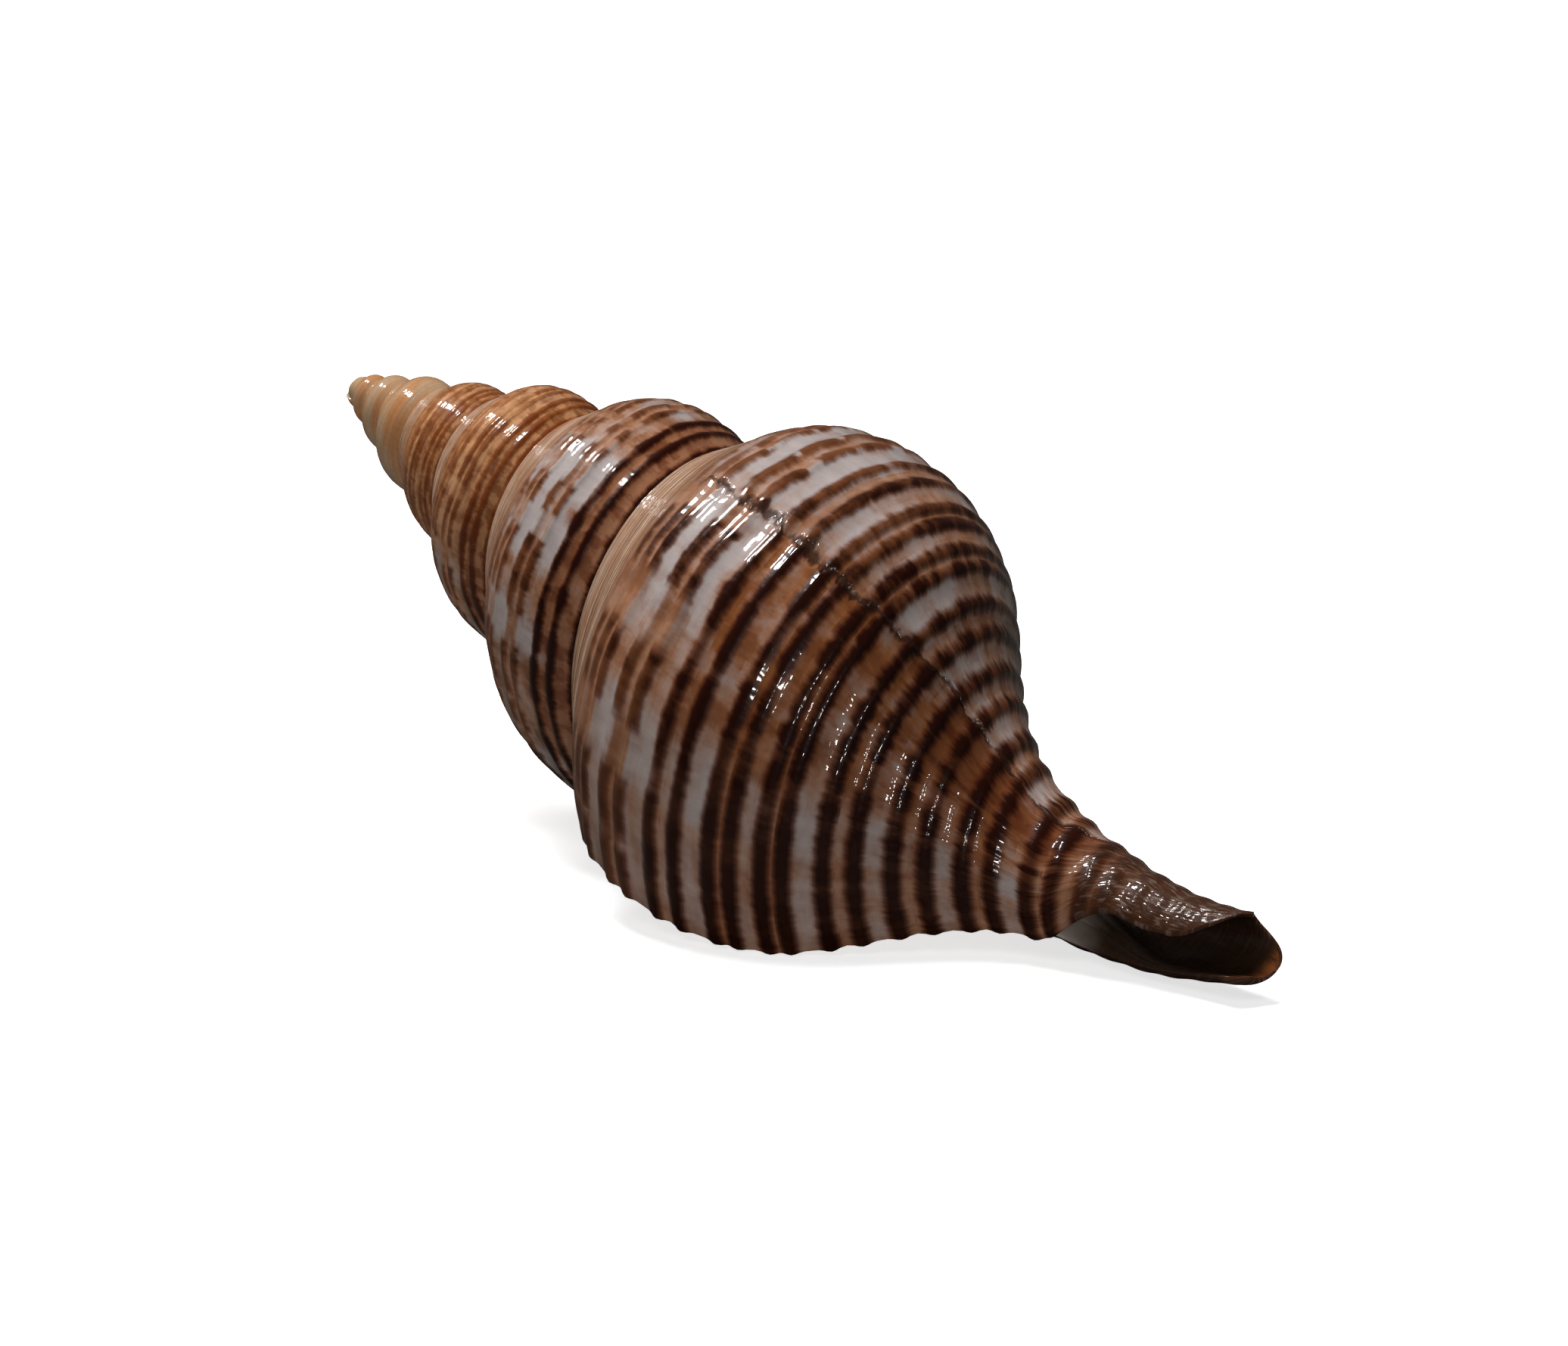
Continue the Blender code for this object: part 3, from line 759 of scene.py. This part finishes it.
def build_inner_side(bm, rows):
    """The floor and the roof of the hollow, joined at its depth and at the mouth's corner."""
    floor_rows = rows[rows.index(U_SUTURE) + 2 :]
    roof_rows = [u for u in rows if u > ROOF_FROM]
    floor, values = outer_sheet(bm, INNER_COLUMNS, floor_rows, floor_time, FLOOR_TILE, 1.0)
    columns = INNER_COLUMNS + LIP_ROUND
    roof, roof_values = sheet(bm, columns, roof_rows, roof_place, roof_marks, ROOF_TILE)
    loft(
        bm,
        [(u, roof[0, j]) for j, u in enumerate(roof_rows)],
        [(u, floor[0, j]) for j, u in enumerate(floor_rows)],
        {**values, **roof_values},
    )

    def corner_place(i, s):
        start = inside(roof_time(i, roof_rows[0]), roof_rows[0])
        end = outside(floor_time(i, floor_rows[0]), floor_rows[0])
        return start.lerp(end, s)

    sheet(
        bm, INNER_COLUMNS, CORNER_ROWS, corner_place,
        lambda i, s: marks(roof_time(i, 1.0), 1.0, skin=1.0),
        CORNER_TILE,
    )


def build_shell():
    bm = bmesh.new()
    for name in MAPS:
        bm.loops.layers.uv.new(name)
    rows = edge_rows()
    build_outer_side(bm, rows)
    build_inner_side(bm, rows)
    sheet(
        bm, COLUMNS, [k / END_ROWS for k in range(END_ROWS + 1)], end_place,
        lambda i, s: marks(body_time(i, U_TIP), U_TIP, skin=0.6 * s),
        END_TILE,
    )
    bmesh.ops.remove_doubles(bm, verts=bm.verts, dist=MERGE)
    bmesh.ops.dissolve_degenerate(bm, edges=bm.edges, dist=MERGE / 4)
    close_apex(bm)
    rim = [edge for edge in bm.edges if edge.is_boundary]
    for face in bmesh.ops.holes_fill(bm, edges=rim, sides=0)["faces"]:
        write_same(bm, face, marks(0.0, 2.0, skin=0.5))
    bmesh.ops.recalc_face_normals(bm, faces=bm.faces)
    return bm


def close_apex(bm):
    """Rings that round off the first whorl, each smaller and higher than the one before."""
    rim = [edge for edge in bm.edges if edge.is_boundary and edge.verts[0].co.z < APEX_BELOW]
    verts = {vert for edge in rim for vert in edge.verts}
    centre = sum((vert.co for vert in verts), Vector()) / len(verts)
    start = [vert.co.copy() for vert in verts]
    values = {**marks(-TURNS, 15.0), "OFBake": DOME_SPOT}
    for ring in range(1, DOME_RINGS + 1):
        angle = 0.5 * math.pi * ring / DOME_RINGS
        made = bmesh.ops.extrude_edge_only(bm, edges=rim)["geom"]
        rim = [item for item in made if isinstance(item, bmesh.types.BMEdge) and item.is_boundary]
        moved = {vert for edge in rim for vert in edge.verts}
        for vert in moved:
            origin = min(start, key=lambda place: (place - vert.co).length_squared)
            level = origin.z + (centre.z - origin.z) * math.sin(angle)
            flat = Vector((origin.x, origin.y, level))
            vert.co = centre + (flat - centre) * max(math.cos(angle), 0.02)
            vert.co.z -= APEX_DOME * math.sin(angle)
        start = [vert.co.copy() for vert in moved]
        for face in [item for item in made if isinstance(item, bmesh.types.BMFace)]:
            write_same(bm, face, values)


def lay_down(bm):
    """Turns the resting direction up and the canal to +X, then centres the shell on its solid."""
    up = Vector((math.cos(UP_AZIMUTH), math.sin(UP_AZIMUTH), 0.0)) * math.cos(UP_TILT)
    up.z = math.sin(UP_TILT)
    ahead = Vector((0.0, 0.0, 1.0))
    ahead = (ahead - up * ahead.dot(up)).normalized()
    turn = Matrix((ahead, up.cross(ahead), up)).to_4x4()
    bmesh.ops.transform(bm, matrix=Matrix.Scale(0.001, 4) @ turn, verts=bm.verts)
    low = Vector([min(vert.co[k] for vert in bm.verts) for k in range(3)])
    high = Vector([max(vert.co[k] for vert in bm.verts) for k in range(3)])
    solid_low, solid_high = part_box("shell")
    shift = (solid_low + solid_high) / 2 - (low + high) / 2
    bmesh.ops.translate(bm, vec=shift, verts=bm.verts)


# ------------ materials
class Wiring:
    """Adds nodes to one tree and links them as it goes."""

    def __init__(self, tree):
        self.tree = tree

    def put(self, socket, value):
        if isinstance(value, bpy.types.NodeSocket):
            self.tree.links.new(value, socket)
        elif isinstance(value, tuple) and len(value) == 3 and socket.type == "RGBA":
            socket.default_value = (*value, 1.0)
        else:
            socket.default_value = value

    def node(self, kind, inputs=None, **settings):
        made = self.tree.nodes.new("ShaderNode" + kind)
        for name, value in settings.items():
            setattr(made, name, value)
        for name, value in (inputs or {}).items():
            self.put(made.inputs[name], value)
        return made

    def math(self, operation, *values):
        made = self.tree.nodes.new("ShaderNodeMath")
        made.operation = operation
        for socket, value in zip(made.inputs, values, strict=False):
            self.put(socket, value)
        return made.outputs[0]

    def times(self, first, *others):
        """All the values multiplied together."""
        for value in others:
            first = self.math("MULTIPLY", first, value)
        return first

    def line(self, value, gain, start):
        """The start, with the value added gain times."""
        return self.math("MULTIPLY_ADD", value, gain, start)

    def total(self, start, *terms):
        """The start, with each value added as many times as its weight says."""
        for value, weight in terms:
            start = self.line(value, weight, start)
        return start

    def less(self, value, share, where, whole=1.0):
        """The value, less a share of it where the mask is 1."""
        return self.times(value, self.line(where, -share, whole))

    def step(self, value, low, high):
        """0 at low and 1 at high, with a soft run between them. Low may be the greater one."""
        inputs = {"Value": value, "From Min": low, "From Max": high}
        return self.node("MapRange", inputs, interpolation_type="SMOOTHSTEP").outputs[0]

    def mix(self, share, first, second, blend="MIX"):
        made = self.node("Mix", data_type="RGBA", blend_type=blend)
        self.put(made.inputs[0], share)
        self.put(made.inputs[6], first)
        self.put(made.inputs[7], second)
        return made.outputs[2]

    def mix_value(self, share, first, second):
        """One number faded into another."""
        return self.line(self.math("SUBTRACT", second, first), share, first)

    def pair(self, name):
        """The two values of a map on the surface."""
        split = self.node("SeparateXYZ", {"Vector": self.node("UVMap", uv_map=name).outputs[0]})
        return split.outputs[0], split.outputs[1]


def new_material(name):
    """A material, with its wiring and its shader."""
    material = bpy.data.materials.new(name)
    material.use_nodes = True
    return material, Wiring(material.node_tree), material.node_tree.nodes["Principled BSDF"]


DARK_CORD = (0.021, 0.0036, 0.0013)
FADED_CORD = (0.15, 0.050, 0.018)
BROWN_CORD = (0.110, 0.028, 0.009)
RED_CORD = (0.26, 0.078, 0.020)
RED_BROWN = (0.12, 0.020, 0.0025)
TAN = (0.34, 0.165, 0.090)
LAVENDER = (0.375, 0.32, 0.305)
RAMP_TAN = (0.55, 0.40, 0.29)
RAMP_BROWN = (0.22, 0.105, 0.055)
TIP_BROWN = (0.44, 0.20, 0.08)
CREAM = (0.42, 0.28, 0.165)
CANAL_SPECK = (0.24, 0.17, 0.13)
CANAL_OUTSIDE = (0.050, 0.018, 0.008)
RIM_ORANGE = (0.16, 0.050, 0.014)
ORANGE = (0.27, 0.095, 0.030)
OCHRE = (0.52, 0.26, 0.115)
LINING = (0.66, 0.58, 0.52)
# inside of the canal: dark brown, with painted shade of its hollow
CANAL_BROWN_SHADE = (0.011, 0.0045, 0.0025)
SCAR_BROWN = (0.03, 0.012, 0.007)

# Ages of the surface, in turns: where a mask starts and where it is full
EARLY = (-1.85, -2.25)  # faded whorls with red-brown cords
FIRST = (-3.1, -4.1)  # smooth whorls at the tip
SECOND = (-0.9, -1.0)  # behind the last whorl
CALM = (-0.17, -0.06)  # even colours towards the lip
BLEACHED = (-0.44, -0.38)  # pale up to the healed break
NEWER = (0.13, 0.07)  # dark from the break up to these turns past it

# Places along the growing edge, in millimetres, in the same way
OFF_RAMP = (7.0, 11.0)
ON_RAMP = (10.5, 7.0)
SHOULDER_DASHES = (25.0, 21.5)
LOWER = (20.0, 26.0)
LAST_CORDS = (42.0, 50.0)
NECK = (55.0, 60.0)
CANAL_SKIN = (55.0, 67.0)
# here the lining inside the canal turns to dark brown and painted shade
CANAL_SHADED = (66.0, 70.0)
CANAL_RIM_COLOUR = (76.2, 77.4)

# Noises: features in a turn and in a millimetre, a level of its own, detail and roughness
NOISES = {
    "cloud": (11.0, 0.14, 0.0, 3.0, 0.6),
    "streaks": (24.0, 0.55, 7.0, 3.0, 0.6),
    "blot": (26.0, 0.30, 11.0, 3.0, 0.6),
    "flame": (40.0, 0.13, 17.0, 4.0, 0.65),
    "squares": (62.0, 0.24, 29.0, 3.0, 0.6),
    "tip": (2.6, 0.07, 41.0, 3.0, 0.5),
    "specks": (70.0, 0.8, 23.0, 3.0, 0.6),
    "fibre": (6.0, 4.5, 0.0, 2.0, 0.5),
    "lines": (110.0, 0.25, 0.0, 4.0, 0.7),
    "ripple": (85.0, 0.10, 37.0, 1.0, 0.5),
    "dimples": (60.0, 0.55, 43.0, 1.0, 0.5),
}
# Noises that run along each cord by itself: the level steps on from one cord to the next
CORD_NOISES = {
    "dashes": (34.0, 5.3, 4.0, 0.6),
    "beads": (190.0, 3.7, 1.0, 0.5),
}

SHELL_GLOSS = {
    "Specular IOR Level": 0.08, "Coat Weight": 0.7, "Coat Roughness": 0.06, "Coat IOR": 1.5,
}
BUMP_DEPTH = 0.00012


class Surface:
    """What the colours read: the maps of the shell, its noises, and masks for age and place."""

    def __init__(self, wire):
        self.wire = wire
        self.time, self.reach = wire.pair("Growth")
        self.off_crest, number = wire.pair("Cords")
        self.skin, past_scar = wire.pair("Skin")
        self.pale, self.warm = wire.pair("Tint")
        self.gaps, self.wide = wire.pair("Dashes")
        self.number = wire.math("ROUND", number)
        for name, (across, along, level, *kind) in NOISES.items():
            setattr(self, name, self.noise(across, wire.times(self.reach, along), level, *kind))
        for name, (across, level, *kind) in CORD_NOISES.items():
            setattr(self, name, self.noise(across, 0.0, wire.times(self.number, level), *kind))

        # Torn edge of the healed break, and how far past it a place lies
        self.torn = wire.total(past_scar, (self.streaks, 0.016), (self.cloud, 0.030))
        self.torn = wire.math("SUBTRACT", self.torn, 0.023)
        self.early = wire.step(self.time, *EARLY)
        self.first = wire.step(self.time, *FIRST)
        self.calm = wire.step(self.time, *CALM)
        self.low = wire.step(self.reach, *LOWER)
        self.last = wire.step(self.reach, *LAST_CORDS)
        self.second = wire.times(wire.step(self.time, *SECOND), self.low)
        after = wire.step(self.torn, -0.001, 0.001)
        self.newer = wire.times(after, wire.step(self.torn, *NEWER))
        before = wire.times(wire.step(self.torn, 0.001, -0.001), wire.step(self.time, *BLEACHED))
        self.bleached = wire.less(before, 0.7, wire.step(self.reach, 27.0, 36.0))
        self.new_low = wire.times(self.newer, self.low)
        self.dark_base = wire.times(self.newer, self.last, wire.step(self.calm, 1.0, 0.0))
        self.on_ramp = wire.step(self.reach, *ON_RAMP)

        # Blocks of colour and upright flames, calmer towards the lip
        blocks = wire.line(self.dashes, 0.8, wire.math("SUBTRACT", self.squares, 0.4))
        blocks = wire.step(blocks, 0.30, 0.68)
        self.blocks = wire.mix_value(wire.times(self.calm, 0.75), blocks, 0.25)
        self.flame = wire.mix_value(wire.times(self.calm, 0.5), self.flame, 0.5)

    def noise(self, across, along, level, detail, roughness):
        turned = self.wire.times(self.time, across)
        place = self.wire.node("CombineXYZ", {"X": turned, "Y": along, "Z": level}).outputs[0]
        inputs = {"Vector": place, "Scale": 1.0, "Detail": detail, "Roughness": roughness}
        return self.wire.node("TexNoise", inputs).outputs["Fac"]


def band_colour(wire, s):
    """The bands between the cords: lavender patches on tan, stained brown in flames."""
    patch = wire.times(s.pale, wire.line(s.wide, 0.75, 0.25))
    patch = wire.less(patch, 0.4, s.new_low, whole=0.9)
    patch = wire.less(patch, 0.2, s.bleached)
    white = wire.total(
        wire.math("SUBTRACT", patch, 1.12), (s.wide, wire.line(s.new_low, -0.10, 0.24)),
        (s.dark_base, -0.35), (s.second, -0.35), (s.streaks, 0.9), (s.flame, 1.0),
        (s.blocks, 0.34),
    )
    white = wire.step(wire.less(white, 0.75, s.early), 0.0, 0.95)
    warmth = wire.total(
        0.95, (s.cloud, -1.2), (s.warm, 0.6), (s.wide, -0.45), (s.new_low, 0.4),
        (wire.step(s.reach, *NECK), -0.8),
    )
    band = wire.mix(wire.step(warmth, 0.0, 1.1), TAN, ORANGE)
    band = wire.mix(s.early, band, wire.mix(wire.step(s.streaks, 0.45, 0.75), OCHRE, ORANGE))
    stained = wire.total(0.4, (s.blocks, -0.8), (wire.step(s.flame, 0.60, 0.38), 1.0))
    stained = wire.times(wire.step(stained, 0.0, 1.2), wire.line(s.low, 0.10, 0.40))
    stained = wire.total(stained, (s.dark_base, 0.65), (s.second, 0.30))
    band = wire.mix(wire.less(stained, 0.5, s.bleached), band, BROWN_CORD)
    return wire.mix(white, band, LAVENDER)


def ramp_colour(wire, s):
    """The ramp: tan, with fine brown threads that break up."""
    thread = wire.math("COSINE", wire.times(s.reach, 2 * math.pi / THREAD_PITCH))
    thread = wire.step(wire.line(s.streaks, 2.6, thread), 1.7, 0.5)
    thread = wire.times(thread, wire.step(s.reach, 0.5, 4.0))
    ramp = wire.mix(wire.step(s.fibre, 0.35, 0.62), RAMP_BROWN, RAMP_TAN)
    ramp = wire.mix(wire.times(wire.step(s.blot, 0.45, 0.65), 0.7), ramp, TAN)
    return wire.mix(thread, ramp, RAMP_BROWN)


def add_cords(wire, s, colour):
    """Cords: dark cores with brown edges, broken into dashes on the shoulder."""
    shoulder = wire.step(s.reach, *SHOULDER_DASHES)
    old_shoulder = wire.times(shoulder, wire.step(s.time, *SECOND))
    absent = wire.total(
        -0.65, (s.dashes, 1.3), (s.gaps, wire.line(shoulder, 0.75, 0.25)),
        (s.bleached, wire.line(s.blocks, 0.9, -0.70)),
    )
    edge = wire.total(
        wire.math("SUBTRACT", s.off_crest, 0.58), (s.dashes, 0.495), (s.beads, 0.405),
        (s.blocks, 0.34), (s.early, wire.line(s.cloud, 2.6, -1.5)),
    )
    s.on_cord = wire.step(edge, 0.9, 0.3)
    upper = wire.line(wire.step(s.reach, 12.0, 15.0), 0.35, 0.65)
    upper = wire.less(wire.times(wire.step(s.reach, *OFF_RAMP), upper), 0.9, s.first)

    halo = wire.times(wire.step(edge, 1.20, 0.60), wire.step(absent, 0.85, 0.45), upper)
    halo = wire.less(halo, 0.4, s.bleached, whole=0.8)
    halo = wire.less(halo, 0.5, old_shoulder)
    colour = wire.mix(halo, colour, wire.mix(s.early, BROWN_CORD, RED_CORD))

    core = wire.times(wire.step(edge, 0.95, 0.30), wire.step(absent, 0.60, 0.25), upper)
    core = wire.less(core, 0.35, s.early)
    deep = wire.total(
        1.45, (s.flame, -1.3), (s.blocks, -0.75), (s.low, 0.35), (s.newer, 0.40),
        (s.second, 0.40), (old_shoulder, -0.25), (s.bleached, -0.35),
    )
    red = wire.total(
        2.75, (s.flame, -1.6), (s.blocks, -0.5), (wire.step(s.reach, 12.0, 22.0), 0.6),
        (s.cloud, -3.0),
    )
    late = wire.mix(wire.step(deep, 0.0, 1.0), FADED_CORD, DARK_CORD)
    faded = wire.mix(wire.step(red, 0.0, 1.0), RED_CORD, RED_BROWN)
    return wire.mix(core, colour, wire.mix(s.early, late, faded))


def add_canal(wire, s, colour):
    """The dark, speckled outside of the canal, and the growth lines all over."""
    canal = wire.line(s.blot, -0.9, wire.times(wire.step(s.reach, *CANAL_SKIN), 1.35))
    speck = wire.times(wire.step(s.specks, 0.50, 0.64), 0.48)
    skin = wire.mix(speck, CANAL_OUTSIDE, CANAL_SPECK)
    colour = wire.mix(wire.step(canal, 0.0, 1.0), colour, skin)
    tint = wire.line(s.lines, 0.5, 0.75)
    grey = wire.node("CombineColor", {"Red": tint, "Green": tint, "Blue": tint}).outputs[0]
    return wire.mix(1.0, colour, grey, "MULTIPLY")


def add_scar(wire, s, colour):
    """The ragged brown line of the healed break."""
    width = wire.line(s.blot, 0.026, -0.011)
    scar = wire.math("SUBTRACT", wire.math("ABSOLUTE", s.torn), width)
    top = wire.step(s.reach, 9.0, 14.0)
    s.scar = wire.times(wire.step(scar, 0.002, -0.002), top, wire.step(s.reach, 66.0, 56.0))
    return wire.mix(wire.times(s.scar, 0.85), colour, SCAR_BROWN)


def add_lining(wire, s, colour):
    """The pale lining of the mouth, and inside the canal dark brown with painted shade."""
    lined = wire.line(s.cloud, 0.3, wire.math("SUBTRACT", s.skin, 0.15))
    s.lined = wire.step(lined, 0.35, 0.65)
    # Deeper in the canal the lining turns near black: dark brown and painted shade of the hollow
    hollow = wire.line(s.cloud, 3.0, s.reach)
    inner = wire.mix(wire.step(hollow, *CANAL_SHADED), LINING, CANAL_BROWN_SHADE)
    inner = wire.mix(wire.times(s.fibre, 0.30), inner, wire.mix(0.5, inner, TAN))
    rim = wire.times(wire.step(s.reach, *CANAL_RIM_COLOUR), wire.step(s.blot, 0.3, 0.6))
    return wire.mix(s.lined, colour, wire.mix(rim, inner, RIM_ORANGE))


def relief_normal(wire, s, *terms):
    """A bump from the sum of its terms, low on the lining and as small as each whorl."""
    height = wire.less(wire.total(0.0, *terms), 0.8, s.lined)
    height = wire.times(height, wire.math("POWER", WHORL_RATIO, s.time))
    inputs = {"Strength": 1.0, "Distance": BUMP_DEPTH, "Height": height}
    return wire.node("Bump", inputs).outputs[0]


def shell_material():
    material, wire, shader = new_material("corded_shell")
    s = Surface(wire)
    colour = wire.mix(s.on_ramp, band_colour(wire, s), ramp_colour(wire, s))
    colour = wire.mix(s.first, colour, wire.mix(wire.step(s.tip, 0.42, 0.62), CREAM, TIP_BROWN))
    colour = add_cords(wire, s, colour)
    colour = add_canal(wire, s, colour)
    colour = add_scar(wire, s, colour)
    wire.put(shader.inputs["Base Color"], add_lining(wire, s, colour))

    rough = wire.total(0.26, (wire.step(s.reach, 9.0, 5.0), 0.25), (s.lines, 0.12))
    wire.put(shader.inputs["Roughness"], rough)
    for socket, value in SHELL_GLOSS.items():
        shader.inputs[socket].default_value = value

    # Growth lines cross the cords and threads run along them; the gloss has soft waves only
    threads = wire.times(s.fibre, s.on_ramp)
    beaded = wire.times(s.beads, s.on_cord)
    fine = relief_normal(wire, s, (threads, 0.4), (s.lines, 0.5), (beaded, 0.5), (s.scar, -1.5))
    soft = relief_normal(wire, s, (s.ripple, 1.1), (s.dimples, 0.8), (s.scar, -1.5))
    wire.put(shader.inputs["Normal"], fine)
    wire.put(shader.inputs["Coat Normal"], soft)
    return material


FLOOR_WHITE = (0.88, 0.88, 0.88)
FLOOR_SHADE = (0.05, 0.045, 0.04)  # its colour in the gloss of the shell
FLOOR_GLOW = (0.7, 0.7, 0.7)
FLOOR_UPLIGHT = (0.40, 0.39, 0.38)
FLOOR_GLOSS = {"Emission Strength": 1.0, "Roughness": 0.9, "Specular IOR Level": 0.1}
BLACK = (0.0, 0.0, 0.0)


def floor_material():
    """Pale to look at; it throws soft light up at the shell, and isn't mirrored in it."""
    material, wire, shader = new_material("pale_floor")
    path = wire.node("LightPath").outputs
    seen = path["Is Camera Ray"]
    wire.put(shader.inputs["Base Color"], wire.mix(seen, FLOOR_SHADE, FLOOR_WHITE))
    soft = wire.mix(path["Is Diffuse Ray"], BLACK, FLOOR_UPLIGHT)
    wire.put(shader.inputs["Emission Color"], wire.mix(seen, soft, FLOOR_GLOW))
    for socket, value in FLOOR_GLOSS.items():
        shader.inputs[socket].default_value = value
    return material


# ------------ pieces and studio
def add_object(name, data):
    made = bpy.data.objects.new(name, data)
    bpy.context.scene.collection.objects.link(made)
    return made


def add_mesh(name, bm, material):
    """Makes an object of a finished bmesh, all in one material."""
    mesh = bpy.data.meshes.new(name)
    bm.to_mesh(mesh)
    bm.free()
    mesh.materials.append(material)
    return add_object(name, mesh)


def make_shell():
    bm = build_shell()
    lay_down(bm)
    for face in bm.faces:
        face.smooth = True
    shell = add_mesh("whelk_shell", bm, shell_material())
    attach(shell, "root")
    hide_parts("shell")


FLOOR_SIZE = 6.0


def make_floor():
    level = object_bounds()[0].z
    bm = bmesh.new()
    bmesh.ops.create_grid(bm, x_segments=1, y_segments=1, size=FLOOR_SIZE)
    floor = add_mesh("floor", bm, floor_material())
    floor.location.z = level


def sphere_place(azimuth, elevation, distance, centre):
    """A place seen from the centre at an azimuth and an elevation in degrees."""
    a = math.radians(azimuth)
    e = math.radians(elevation)
    towards = Vector((math.cos(a) * math.cos(e), math.sin(a) * math.cos(e), math.sin(e)))
    return centre + distance * towards


# Lamps: azimuth, elevation, distance, width and height, power. Fill lamps aren't mirrored;
# glint lamps are only seen as highlights.
FILL_LAMPS = {
    "roof": (165.0, 66.0, 1.2, 0.7, 0.7, 24.0),
    "high_front": (-62.0, 40.0, 1.2, 0.6, 0.4, 2.1),
    "front": (-55.0, 4.0, 1.2, 0.6, 0.3, 2.0),
}
GLINT_LAMPS = {
    "roof_left": (178.0, 50.0, 1.2, 0.11, 0.11, 3.0),
    "roof_middle": (-172.0, 66.0, 1.2, 0.11, 0.11, 3.0),
    **{
        f"small_front_{k}": (-34.0 + 8.0 * k, 24.0 + 6.0 * (k % 2), 1.4, 0.06, 0.06, 0.9)
        for k in range(4)
    },
}
WORLD_LIGHT = (0.03, 0.03, 0.03)
BACKDROP = (0.90, 0.90, 0.90)


def make_lamps(lamps, centre, fills):
    for name, (azimuth, elevation, distance, width, height, power) in lamps.items():
        light = bpy.data.lights.new(name, "AREA")
        light.shape = "RECTANGLE"
        light.size = width
        light.size_y = height
        light.energy = power
        lamp = add_object(name, light)
        lamp.visible_glossy = not fills
        lamp.visible_diffuse = fills
        lamp.location = sphere_place(azimuth, elevation, distance, centre)
        lamp.rotation_euler = (centre - lamp.location).to_track_quat("-Z", "Y").to_euler()


def make_studio():
    low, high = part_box("shell")
    make_lamps(FILL_LAMPS, (low + high) / 2, fills=True)
    make_lamps(GLINT_LAMPS, (low + high) / 2, fills=False)
    world = bpy.data.worlds.new("studio")
    world.use_nodes = True
    wire = Wiring(world.node_tree)
    back = world.node_tree.nodes["Background"]
    seen = wire.node("LightPath").outputs["Is Camera Ray"]
    wire.put(back.inputs["Color"], wire.mix(seen, WORLD_LIGHT, BACKDROP))
    back.inputs["Strength"].default_value = 1.0
    bpy.context.scene.world = world
    bpy.context.scene.view_settings.view_transform = "Standard"


CAMERA_AIM = Vector((0.00141, -0.00032, 0.0178))
CAMERA_AZIMUTH = -42.292
CAMERA_ELEVATION = 14.0
CAMERA_ROLL = math.radians(0.296)
CAMERA_DISTANCE = 1.0
LENS = 274.03
SENSOR_WIDTH = 36.0
CLIP_START = 0.01


def make_camera():
    data = bpy.data.cameras.new("camera")
    data.lens = LENS
    data.sensor_width = SENSOR_WIDTH
    data.clip_start = CLIP_START
    camera = add_object("camera", data)
    camera.location = sphere_place(CAMERA_AZIMUTH, CAMERA_ELEVATION, CAMERA_DISTANCE, CAMERA_AIM)
    look = (CAMERA_AIM - camera.location).to_track_quat("-Z", "Y")
    roll = Matrix.Rotation(CAMERA_ROLL, 3, "Z")
    camera.rotation_euler = (look.to_matrix() @ roll).to_euler()
    bpy.context.scene.camera = camera


make_shell()
make_floor()
make_studio()
make_camera()
